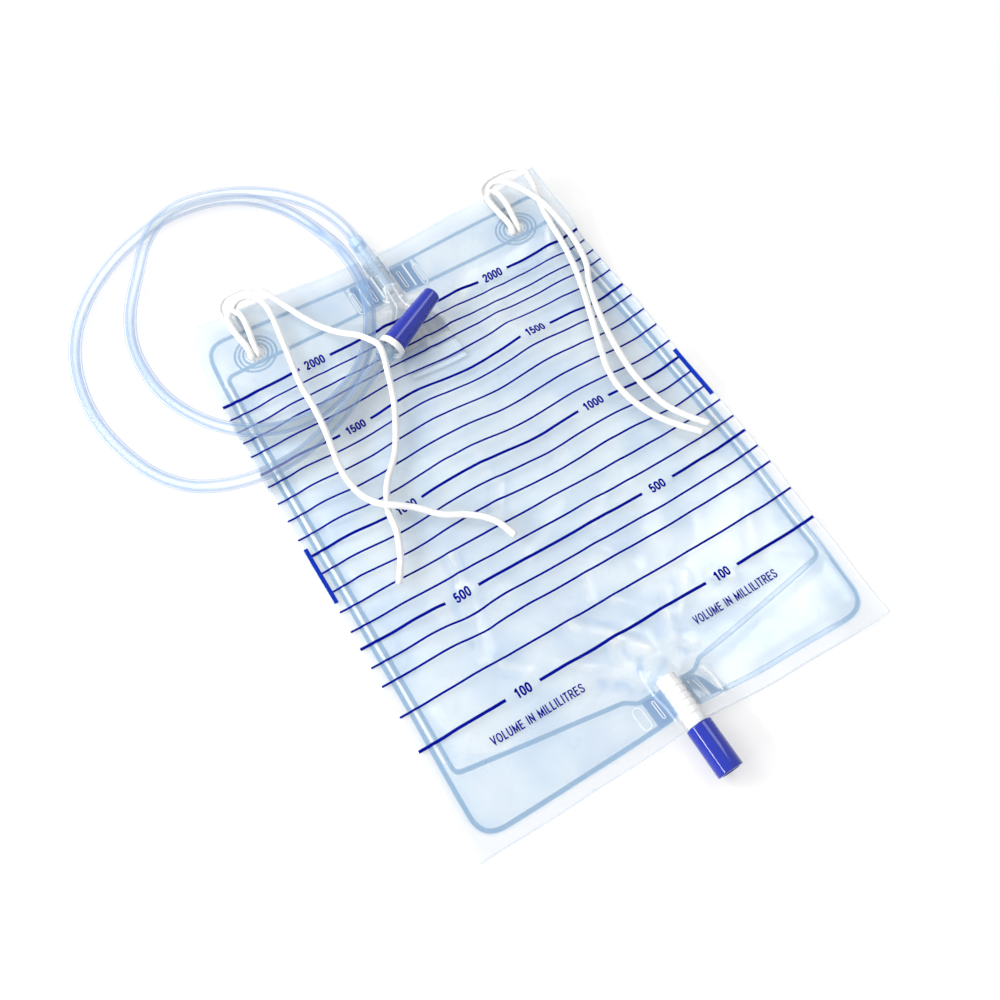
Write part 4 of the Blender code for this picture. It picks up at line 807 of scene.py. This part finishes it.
def crest_of(x, y):
    """How sharply the front sheet bulges: above zero on a crest, below it in a hollow."""
    reach = 2.8
    near = ((reach, 0), (-reach, 0), (0, reach), (0, -reach))
    around = sum(front_top(x + a, y + b, False) for a, b in near)
    return (4 * front_top(x, y, False) - around) / reach ** 2


def ridge_distance(x, y):
    """Distance from the raised line between the two welds of each side."""
    ends = np.maximum(0, np.maximum(BOTTOM + 42 - y, y - TOP + 42))
    return np.abs(np.abs(x) - (SIDE_OUT + SIDE_IN) / 2) + ends


def milky_share(x, y):
    """Share of the whitish, finely creased film round the inlet port."""
    near = np.exp(-(x / 19.0) ** 2 - ((y - PORT_INNER - 3) / 19.0) ** 2)
    return 0.85 * near * step01((TOP - 9 - y) / 6.0) * step01((tab_distance(x, y) + 0.5) / 1.5)


# Across the sheets the grid is finer over the side welds and over the hanging holes
WELDS_FROM, WELDS_TO = 94.0, 101.0
HOLES_FROM, HOLES_TO = HOLE_PLACE - 14, HOLE_PLACE + 14


def graded(stops):
    """Places on a line, from stretches (start, end, step) that follow each other."""
    places = [stops[0][0]]
    for start, end, step in stops:
        count = max(1, int(round((end - start) / step)))
        places += list(np.linspace(start, end, count + 1)[1:])
    return np.array(places)


def sheet(name, xs, ys, low_of, high_of, materials, node):
    """A closed film sheet on a grid, with the hanging holes cut out."""
    grid_x, grid_y = np.meshgrid(xs, ys, indexing="ij")
    flat_x, flat_y = grid_x.ravel().copy(), grid_y.ravel().copy()
    columns, rows = len(xs), len(ys)
    index = np.arange(columns * rows).reshape(columns, rows)
    quads = np.stack([index[:-1, :-1], index[1:, :-1], index[1:, 1:], index[:-1, 1:]], -1).reshape(-1, 4)
    keep = np.ones(len(quads), bool)
    for hole_x, hole_y in HOLES:
        far = np.hypot(flat_x - hole_x, flat_y - hole_y)
        keep &= far[quads].min(1) > HOLE_RADIUS - 0.35
    quads = quads[keep]
    for hole_x, hole_y in HOLES:
        far = np.hypot(flat_x - hole_x, flat_y - hole_y)
        near = far < HOLE_RADIUS + 0.55
        pull = HOLE_RADIUS / np.maximum(far[near], 1e-6)
        flat_x[near] = hole_x + (flat_x[near] - hole_x) * pull
        flat_y[near] = hole_y + (flat_y[near] - hole_y) * pull
    used = np.unique(quads)
    new = np.full(columns * rows, -1)
    new[used] = np.arange(len(used))
    quads = new[quads]
    u, v = flat_x[used], flat_y[used]
    shift_x, shift_y = edge_sway(u, v)
    high = np.column_stack([u + shift_x, v + shift_y, high_of(u, v)])
    low = np.column_stack([u + shift_x, v + shift_y, low_of(u, v)])
    points, faces = two_sided(high, low, [tuple(quad) for quad in quads.tolist()])
    piece = make_mesh(name, points, faces, materials)
    side, walls = len(quads), len(faces) - 2 * len(quads)
    piece.data.polygons.foreach_set("material_index", [0] * side + [1] * side + [0] * walls)
    for label, measure in (("weld", weld_distance), ("tab", tab_distance), ("hole", hole_distance),
                           ("clear", clear_distance), ("rim", rim_share), ("cut", cut_distance),
                           ("crest", crest_of), ("milky", milky_share), ("ridge_highlight", ridge_distance)):
        mark_points(piece, label, np.clip(measure(u, v), -9, 20))
    declare(piece, "bag", "clear_film", node)
    return piece


def places_across(middle, steps):
    """Places across a sheet. Steps are those of the rim, welds, gap, holes, field and middle."""
    ends = [-HALF_WIDTH, -WELDS_TO, -WELDS_FROM, -HOLES_TO, -HOLES_FROM, -middle]
    ends += [-end for end in ends[::-1]]
    return graded(list(zip(ends, ends[1:], steps + steps[-2::-1])))


def places_along(step):
    """Places along a sheet, finer near its two ends."""
    return graded([(BOTTOM, BOTTOM + 44, 0.95), (BOTTOM + 44, TOP - 44, step), (TOP - 44, TOP, 0.95)])


def build_sheets():
    front = sheet("front_sheet", places_across(22, (1.3, 0.55, 1.3, 0.9, 1.45, 0.9)), places_along(1.55),
                  lambda x, y: front_top(x, y) - FILM, front_top, [film_outer, film_inner], "front_film")
    sheet("rear_sheet", places_across(14, (2.0, 0.6, 1.3, 1.3, 2.6, 1.0)), places_along(2.8),
          rear_under, lambda x, y: rear_under(x, y) + FILM, [film_inner, film_outer], "rear_film")
    return front


front_sheet = build_sheets()


# Print

def surface_points(points, lift):
    """Puts flat points in millimetres on the front sheet, lift above it."""
    points = np.asarray(points, float)
    x, y = points[:, 0], points[:, 1]
    shift_x, shift_y = edge_sway(x, y)
    above, down, tree = 40, Vector((0, 0, -1)), surface_points.tree
    placed = []
    for px, py in zip(x + shift_x, y + shift_y):
        hit = tree.ray_cast(Vector((px, py, above)) * MM, down)
        height = hit[0].z / MM if hit[0] else float(front_top(np.array([px]), np.array([py]))[0])
        placed.append((px, py, height + lift))
    return np.array(placed)


surface_points.tree = BVHTree.FromPolygons(
    [v.co for v in front_sheet.data.vertices], [p.vertices for p in front_sheet.data.polygons])


def strip_grid(left, right, low, high, step=0.9, across=2):
    """Points and faces of a flat upright strip."""
    xs = np.linspace(left, right, max(2, int((right - left) / step) + 1))
    ys = np.linspace(low, high, across + 1)
    points = [(x, y) for x in xs for y in ys]
    n = across + 1
    faces = [(i * n + j, (i + 1) * n + j, (i + 1) * n + j + 1, i * n + j + 1)
             for i in range(len(xs) - 1) for j in range(across)]
    return points, faces


def thicken(points, faces, lift=0.09, depth=0.05):
    """Closes a thin layer of ink: its top lies lift above the film."""
    top = surface_points(points, lift)
    return two_sided(top, top - (0, 0, depth), faces)


def join_layers(name, layers, material, slot_name):
    """One piece on the bag made of separate thin layers."""
    points, faces, first = [], [], 0
    for layer_points, layer_faces in layers:
        points.append(layer_points)
        faces += [tuple(first + k for k in face) for face in layer_faces]
        first += len(layer_points)
    declare(make_mesh(name, np.vstack(points), faces, [material], smooth=False), "bag", slot_name)


SCALE = [(100, 51.5), (200, 68.0), (300, 83.4), (400, 93.0), (500, 102.9), (600, 112.3),
         (700, 123.2), (800, 133.9), (900, 144.6), (1000, 154.8), (1100, 165.1), (1200, 176.5),
         (1300, 187.4), (1400, 198.0), (1500, 205.9), (1600, 217.3), (1700, 226.2),
         (1800, 233.2), (1900, 241.5), (2000, 249.0)]
NUMBERED = (100, 500, 1000, 1500, 2000)
NUMBER_PLACES = (-53.6, 53.0)


# Letters and digits in hundredths of their height: width, then strokes as x, y, x, y ...
STROKES = {
    "0": (60, [[30, 92, 45, 84, 51, 62, 51, 38, 45, 16, 30, 8, 15, 16, 9, 38, 9, 62, 15, 84, 30, 92]]),
    "1": (60, [[10, 70, 25, 79, 36, 94], [37, 100, 37, 0]]),
    "2": (60, [[8, 70, 13, 86, 30, 93, 47, 86, 50, 68, 42, 50, 22, 28, 10, 8, 54, 8]]),
    "5": (60, [[50, 91, 17, 91, 11, 50, 22, 59, 36, 59, 49, 49, 51, 32, 44, 14, 28, 7, 13, 12, 7, 26]]),
    "M": (84, [[8, 0, 8, 94, 42, 12, 76, 94, 76, 0]]),
    "I": (16, [[8, 0, 8, 100]]),
    "L": (55, [[8, 100, 8, 7, 54, 7]]),
    "T": (62, [[31, 0, 31, 93], [0, 93, 62, 93]]),
    "R": (68, [[8, 0, 8, 93, 42, 93, 58, 85, 60, 72, 55, 58, 40, 50, 8, 50], [38, 50, 66, 0]]),
    "E": (60, [[58, 93, 8, 93, 8, 7, 60, 7], [8, 52, 54, 52]]),
    "S": (64, [[57, 74, 50, 88, 32, 94, 14, 88, 9, 74, 16, 60, 34, 52, 52, 43, 59, 27, 51, 12, 32, 6,
        12, 12, 6, 28]]),
    "V": (68, [[4, 100, 34, 5, 64, 100]]),
    "O": (78, [[39, 93, 60, 85, 70, 64, 70, 36, 60, 15, 39, 7, 18, 15, 8, 36, 8, 64, 18, 85, 39, 93]]),
    "U": (68, [[8, 100, 8, 32, 16, 12, 34, 6, 52, 12, 60, 32, 60, 100]]),
    "N": (70, [[8, 0, 8, 94, 62, 6, 62, 100]]),
    " ": (32, []),
}
GLYPHS = {
    letter: (width / 100, [[(x / 100, y / 100) for x, y in zip(line[::2], line[1::2])] for line in lines])
    for letter, (width, lines) in STROKES.items()
}
ROUND_GLYPHS = "0SO25U"


def stroke(points, half, closed_loop):
    """A flat band along a line, with mitred corners."""
    points = [np.array(p, float) for p in points]
    if closed_loop:
        points = points[:-1]
    last = len(points) - 1
    left, right = [], []
    for k, here in enumerate(points):
        before = points[k - 1] if (k > 0 or closed_loop) else None
        after = points[(k + 1) % len(points)] if (k < last or closed_loop) else None
        into = (here - before) / np.linalg.norm(here - before) if before is not None else None
        away = (after - here) / np.linalg.norm(after - here) if after is not None else None
        into = away if into is None else into
        away = into if away is None else away
        normal = np.array((-(into + away)[1], (into + away)[0]))
        normal /= np.linalg.norm(normal)
        reach = half / max(0.45, normal @ np.array((-into[1], into[0])))
        left.append(here + normal * reach)
        right.append(here - normal * reach)
    count = len(points)
    faces = [(k, count + k, count + (k + 1) % count, (k + 1) % count)
             for k in range(count if closed_loop else count - 1)]
    return left + right, faces


def text_layers(text, middle_x, middle_y, height, weight, gap, squeeze):
    """Plain digits or capitals laid on the sheet, one layer per stroke."""
    total = sum(GLYPHS[c][0] for c in text) + gap * (len(text) - 1)
    at, layers = -total / 2, []
    for letter in text:
        width, lines = GLYPHS[letter]
        for line in lines:
            closed_loop = line[0] == line[-1]
            if letter in ROUND_GLYPHS:
                fine = smooth_path([(px, py, 0) for px, py in line], 0.06)[:, :2]
            else:
                fine = [line[0]]
                for start, end in zip(line, line[1:]):
                    steps = max(1, int(math.dist(start, end) / 0.3))
                    fine += [(start[0] + (end[0] - start[0]) * k / steps,
                              start[1] + (end[1] - start[1]) * k / steps) for k in range(1, steps + 1)]
            placed = [(middle_x + (at + px) * height * squeeze, middle_y + (py - 0.5) * height)
                      for px, py in fine]
            if closed_loop:
                placed[-1] = placed[0]
            layers.append(thicken(*stroke(placed, weight / 2, closed_loop)))
        at += width + gap
    return layers


def build_print():
    lines = []
    edge = HALF_WIDTH - 0.4
    for volume, height in SCALE:
        middle = BOTTOM + height
        if volume in NUMBERED:
            stops = [-edge]
            for place in NUMBER_PLACES:
                stops += [place - 8.5, place + 8.5]
            stops.append(edge)
            spans, half = list(zip(stops[0::2], stops[1::2])), 0.72
        else:
            spans, half = [(-edge, edge)], 0.5
        for left, right in spans:
            lines.append(thicken(*strip_grid(left, right, middle - half, middle + half)))
    join_layers("scale_lines", lines, navy, "navy_ink")
    bars = [thicken(*strip_grid(left, left + 2.1, BOTTOM + 128.0, BOTTOM + 159.5, 0.7, 40), lift=0.12)
            for left in (-edge, edge - 2.1)]
    join_layers("side_bars", bars, royal, "blue_ink")
    digits = []
    for volume, height in SCALE:
        if volume in NUMBERED:
            for place in NUMBER_PLACES:
                digits += text_layers(str(volume), place, BOTTOM + height,
                                      height=4.6, weight=0.9, gap=0.12, squeeze=0.82)
    join_layers("scale_numbers", digits, navy, "navy_ink")
    legend = []
    for place in (-53.5, 51.5):
        legend += text_layers("VOLUME IN MILLILITRES", place, BOTTOM + 39.6,
                              height=4.1, weight=0.6, gap=0.2, squeeze=0.73)
    join_layers("unit_legend", legend, navy, "navy_ink")


build_print()


def slot_outline(middle_x, low, high, half):
    """Corner points of a long slot with round ends, first point repeated at the end."""
    points = []
    for middle_y, start in ((high - half, 0.0), (low + half, math.pi)):
        for k in range(9):
            turn = start + math.pi * k / 8
            points.append((middle_x + half * math.cos(turn), middle_y + half * math.sin(turn)))
    return points + points[:1]


def build_embosses():
    """Raised slots pressed into the welded tabs, painted near white as highlights."""
    layers = []

    def emboss(line, half, closed_loop=False):
        layers.append(thicken(*stroke(line, half, closed_loop), lift=0.16, depth=0.12))

    slots = [(9.1, TOP - 33.5, TOP - 19.5, 0.75), (-9.1, TOP - 33.5, TOP - 19.5, 0.75),
             (18.9, TOP - 36.5, TOP - 20.0, 1.5), (-18.9, TOP - 36.5, TOP - 20.0, 1.5),
             (-9.6, BOTTOM + 9.5, BOTTOM + 18.6, 0.6), (-17.6, BOTTOM + 9.0, BOTTOM + 20.0, 2.1)]
    for middle_x, low, high, half in slots:
        emboss(slot_outline(middle_x, low, high, half), 0.16, True)
    for side in (-1, 1):
        for place in (13.6, 5.3):
            emboss([(side * place, TOP - 34.5 + 4.5 * k) for k in range(5)], 0.22)
    # The tab's crease and the thin line beside it are painted highlights as well.
    for line, half in ((TAB_CREASE, 0.3),
                       ([(8.3, BOTTOM + 18.2), (8.3, BOTTOM + 8.8)], 0.32),
                       ([(10.6, BOTTOM + 17.6), (12.4, BOTTOM + 8.0)], 0.16)):
        emboss(line, half)
    join_layers("tab_emboss_highlights", layers, emboss_painted_highlight, "welded_film")


build_embosses()


# Valve leaves

def valve_half(y):
    """Half width of the valve: narrow at the port, wider further down."""
    return 4.6 + 10.9 * step01((PORT_INNER - 10 - y) / 18.0)


def build_leaves():
    low, high = TOP - 84.3, PORT_INNER - 0.3
    patch, thick = 17.0, 0.1
    ys = np.linspace(low, high, 70)
    shares = np.linspace(-1, 1, 33)
    for name, part, node in (("valve_front_sheet", 0.62, "valve_front_leaf"),
                             ("valve_rear_sheet", 0.36, "valve_rear_leaf")):
        grid_y, share = np.meshgrid(ys, shares, indexing="ij")
        x = share * valve_half(grid_y)
        bottom = rear_under(x, grid_y) + FILM
        top = front_top(x, grid_y) - FILM
        z = bottom + (top - bottom) * part
        shift_x, shift_y = edge_sway(x, grid_y)
        points = np.stack([x + shift_x, grid_y + shift_y, z], -1).reshape(-1, 3)
        width = len(shares)
        quads = [(i * width + j, i * width + j + 1, (i + 1) * width + j + 1, (i + 1) * width + j)
                 for i in range(len(ys) - 1) for j in range(width - 1)]
        piece = make_mesh(name, *two_sided(points, points - (0, 0, thick), quads), [leaf_look])
        flat_x, flat_y = x.ravel(), grid_y.ravel()
        seam = np.minimum(np.abs(valve_half(flat_y) - 2.6 - np.abs(flat_x)) - 0.35,
                          np.minimum(np.abs(flat_y - low - 2.0), np.abs(flat_y - low - patch)) - 0.3)
        for label, values in (("seam", seam), ("band", flat_y - low - patch)):
            mark_points(piece, label, np.clip(values, -5, 5))
        declare(piece, "bag", "valve_film", node)


build_leaves()


# Tube and cords

def build_tube():
    path, sides = smooth_path(TUBE_ROUTE, 2.2), 32
    around = rings_round(path, sides)
    points = [(path[:, None] + radius * around).reshape(-1, 3) for radius in (TUBE_RADIUS, TUBE_BORE)]
    rings, count = len(path), len(path) * sides
    faces = ring_faces(rings, sides) + ring_faces(rings, sides, count, flip=True)
    for ring, flip in ((0, True), (rings - 1, False)):
        for k in range(sides):
            m, a = (k + 1) % sides, ring * sides
            quad = (a + k, a + m, count + a + m, count + a + k)
            faces.append(quad[::-1] if not flip else quad)
    piece = make_mesh("clear_inlet_tube", np.vstack(points), faces, [tube_look])
    declare(piece, "bag", "clear_tube", "inlet_tube")
    return piece, path


def build_cord(name, route, node):
    """Round braid: crossing strands stand out of the surface."""
    step, sides, strands, pitch = 0.62, 20, 4, 5.2
    path = smooth_path(route, step)
    around, turn = rings_round(path, sides), full_turn(sides)
    along = np.arange(len(path))[:, None] * step
    phase = 2 * math.pi * along / pitch
    right = np.cos(strands * turn[None] + phase * 2)
    left = np.cos(strands * turn[None] - phase * 2)
    relief = np.maximum(right, left) - 1
    radius = CORD_RADIUS * (1.02 + 0.075 * relief)
    points = (path[:, None] + radius[:, :, None] * around).reshape(-1, 3)
    faces = ring_faces(len(path), sides)
    count = len(points)
    tips = [path[0] + (path[0] - path[1]) * 0.9, path[-1] + (path[-1] - path[-2]) * 0.9]
    points = np.vstack([points, *tips])
    last = (len(path) - 1) * sides
    for k in range(sides):
        m = (k + 1) % sides
        faces.append((count, m, k))
        faces.append((count + 1, last + k, last + m))
    piece = make_mesh(name, points, faces, [cord_look])
    declare(piece, "bag", "white_cord", node)


clear_tube, tube_path = build_tube()
build_cord("braided_cord_left", LEFT_CORD_ROUTE, "hanging_cord_left")
build_cord("braided_cord_right", RIGHT_CORD_ROUTE, "hanging_cord_right")


# Turned pieces

def turned(name, profile, place, materials, body, slot_name, node, sides=72, size=0.25, second=None):
    """A piece turned round its Y axis; second(along, radius) tells which part has the second material."""
    profile = rounded(profile, lambda half: size, 0.4, 3, sharp=lambda point: point[1] == 0)
    points, rings, turn = [], [], full_turn(sides)
    for along, radius in profile:
        if radius < 1e-9:
            rings.append([len(points)] * sides)
            points.append((0, along, 0))
            continue
        first = len(points)
        points += [(radius * math.cos(t), along, radius * math.sin(t)) for t in turn]
        rings.append(list(range(first, first + sides)))
    faces, looks = [], []
    for at, (ring, following) in enumerate(zip(rings, rings[1:] + rings[:1])):
        look = int(bool(second and second(*profile[at]) and second(*profile[(at + 1) % len(profile)])))
        for k in range(sides):
            m = (k + 1) % sides
            face = list(dict.fromkeys((ring[k], ring[m], following[m], following[k])))
            if len(face) > 2:
                faces.append(tuple(face))
                looks.append(look)
    placed = [tuple(place @ Vector(p)) for p in points]
    piece = make_mesh(name, placed, faces, materials)
    piece.data.polygons.foreach_set("material_index", looks)
    piece.data.set_sharp_from_angle(angle=math.radians(50))
    declare(piece, body, slot_name, node)
    return piece


def connector_place():
    """The connector lies turned and slightly raised over the bag."""
    turn = Matrix.Rotation(math.radians(27.0 - 90), 4, "Z")
    rise = Matrix.Rotation(math.radians(3.0), 4, "X")
    return Matrix.Translation((-16.7, 90.0, 11.7)) @ turn @ rise


def build_turned():
    port_length = PORT_OUTER - PORT_INNER
    place = Matrix.Translation((0, PORT_INNER, PORT_AXIS))
    outside = [(port_length, 3.95), (port_length - 0.6, 4.3)]
    for rib in range(4):
        middle = port_length - 18.5 - 3.4 * rib
        outside += [(middle + along, radius)
                    for along, radius in ((1.25, 4.3), (0.55, 5.0), (-0.55, 5.0), (-1.25, 4.3))]
    inside_wall = [(0.6, 4.3), (0, 3.8), (0, 2.2), (port_length - 6.2, 2.2), (port_length - 6.2, 3.5),
                   (port_length, 3.5)]
    turned("clear_port", outside + inside_wall, place, [port_look], "bag", "clear_port", "inlet_port",
           size=0.3)

    place = Matrix.Translation((0, SLEEVE_TOP + 0.3, SPOUT_AXIS))
    length = SLEEVE_TOP - SLEEVE_END
    edge = 0.35
    sleeve = [(-0.3, 4.7), (-0.3, 6.0 - edge), (-0.3 - edge, 6.0), (-0.3 - length + edge, 6.0),
              (-0.3 - length, 6.0 - edge), (-0.3 - length, 4.2), (-13.5, 4.2), (-13.2, 4.7)]
    turned("blue_sleeve", sleeve, place, [blue_look], "sleeve", "blue_plastic", "outlet_sleeve",
           sides=96, size=0.2)

    place = connector_place()
    body = [(-9.5, 3.55), (-9.5, 4.2), (-9.1, 4.6), (-1.4, 4.6), (-1.4, 5.7), (-3.3, 5.9), (-3.3, 6.7),
            (-2.9, 7.0), (-0.3, 7.0), (0, 6.7), (0, 4.0)]
    for barb in range(1, 4):
        along = 8.0 * barb
        radius = 4.0 - 1.4 / 32 * along
        body += [(along, radius), (along, radius + 0.4)]
    body += [(32.0, 2.6), (32.0, 1.7), (-3.0, 1.7), (-3.0, 3.55)]
    connector = turned("white_connector", body, place, [white_look, port_look], "bag", "white_plastic",
                       "tube_connector", second=lambda along, radius: along < -1.3 and radius < 4.65)
    shell = [(0.3, 4.8), (0.3, 5.9), (0.7, 6.2), (34.8, 4.5), (35.6, 4.1), (36.0, 3.2), (36.0, 0),
             (34.6, 0), (34.6, 3.1)]
    cap = turned("blue_cap", shell, place, [blue_look], "cap", "blue_plastic", "connector_cap",
                 sides=96, size=0.5)
    return connector, cap


list(build_turned())

# CAD nodes whose shape is right keep it and get their looks
for node_name, look in (("outlet_spout", white_look), ("outlet_seal_rear", seal_look),
                        ("outlet_seal_tip", seal_look)):
    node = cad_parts[node_name]
    for material_slot in node.material_slots:
        material_slot.material = look


# Stage and light

def seen_rays(tree):
    """1 for camera, glossy and transmission rays, which see a white backdrop, and 0 for the rest."""
    path = tree.nodes.new("ShaderNodeLightPath")
    total = path.outputs["Is Camera Ray"]
    for kind in ("Is Glossy Ray", "Is Transmission Ray"):
        node = tree.nodes.new("ShaderNodeMath")
        node.operation, node.use_clamp = "ADD", True
        tree.links.new(total, node.inputs[0])
        tree.links.new(path.outputs[kind], node.inputs[1])
        total = node.outputs[0]
    return total


def build_stage():
    bpy.ops.mesh.primitive_plane_add(size=8.0, location=(0, 0, -0.0004))
    floor = bpy.context.object
    floor.name = "floor"
    shade = Shade("floor_look", (0.93, 0.93, 0.935), 0.6)
    output = shade.tree.nodes["Material Output"]
    glow = shade.node("ShaderNodeEmission", Strength=1.27)
    glow.inputs["Color"].default_value = (1, 1, 1, 1)
    mix = shade.node("ShaderNodeMixShader")
    far = shade.node("ShaderNodeVectorMath", operation="LENGTH")
    shade.link(shade.coordinates(), far.inputs[0])
    white = shade.ramp(far.outputs["Value"], 0.38, 0.9, 0.33, 1.0)
    shade.link(shade.math("MULTIPLY", seen_rays(shade.tree), white), mix.inputs["Fac"])
    shade.link(shade.shader.outputs[0], mix.inputs[1])
    shade.link(glow.outputs[0], mix.inputs[2])
    shade.link(mix.outputs[0], output.inputs["Surface"])
    floor.data.materials.append(shade.made)


# Name, place, target, size, power, and the other side where the lamp isn't square
LAMPS = [
    ("key", (-0.92, 0.55, 0.66), (0, 0.02, 0), 0.62, 6.8),
    ("sheen", (-0.78, 0.72, 1.05), (0, 0.02, 0), 0.30, 4.0, 0.65),
    ("window", (0.66, 0.10, 1.10), (0.06, -0.08, 0), 0.44, 2.3, 0.5),
    ("strip", (-0.80, -0.06, 0.42), (0, -0.1, 0), 0.6, 3.4, 0.065),
]


def area_light(name, place, target, size, power, size_y=None):
    """A soft lamp that looks at its target."""
    data = bpy.data.lights.new(name, "AREA")
    data.energy, data.size = power, size
    if size_y:
        data.shape, data.size_y = "RECTANGLE", size_y
    lamp = bpy.data.objects.new(name, data)
    bpy.context.scene.collection.objects.link(lamp)
    lamp.location = place
    lamp.rotation_euler = (Vector(target) - Vector(place)).to_track_quat("-Z", "Y").to_euler()


def build_light():
    world = bpy.data.worlds.new("world")
    bpy.context.scene.world = world
    world.use_nodes = True
    tree = world.node_tree
    tree.nodes["Background"].inputs["Color"].default_value = (1, 1, 1, 1)
    seen = tree.nodes.new("ShaderNodeMapRange")
    seen.inputs["To Min"].default_value, seen.inputs["To Max"].default_value = 0.58, 1.0
    tree.links.new(seen_rays(tree), seen.inputs["Value"])
    tree.links.new(seen.outputs["Result"], tree.nodes["Background"].inputs["Strength"])
    for lamp in LAMPS:
        area_light(*lamp)


build_stage()
build_light()
bpy.context.scene.view_settings.view_transform = "Standard"
# A few light bounces are enough here
cycles = bpy.context.scene.cycles
cycles.max_bounces, cycles.diffuse_bounces, cycles.glossy_bounces = 4, 2, 3
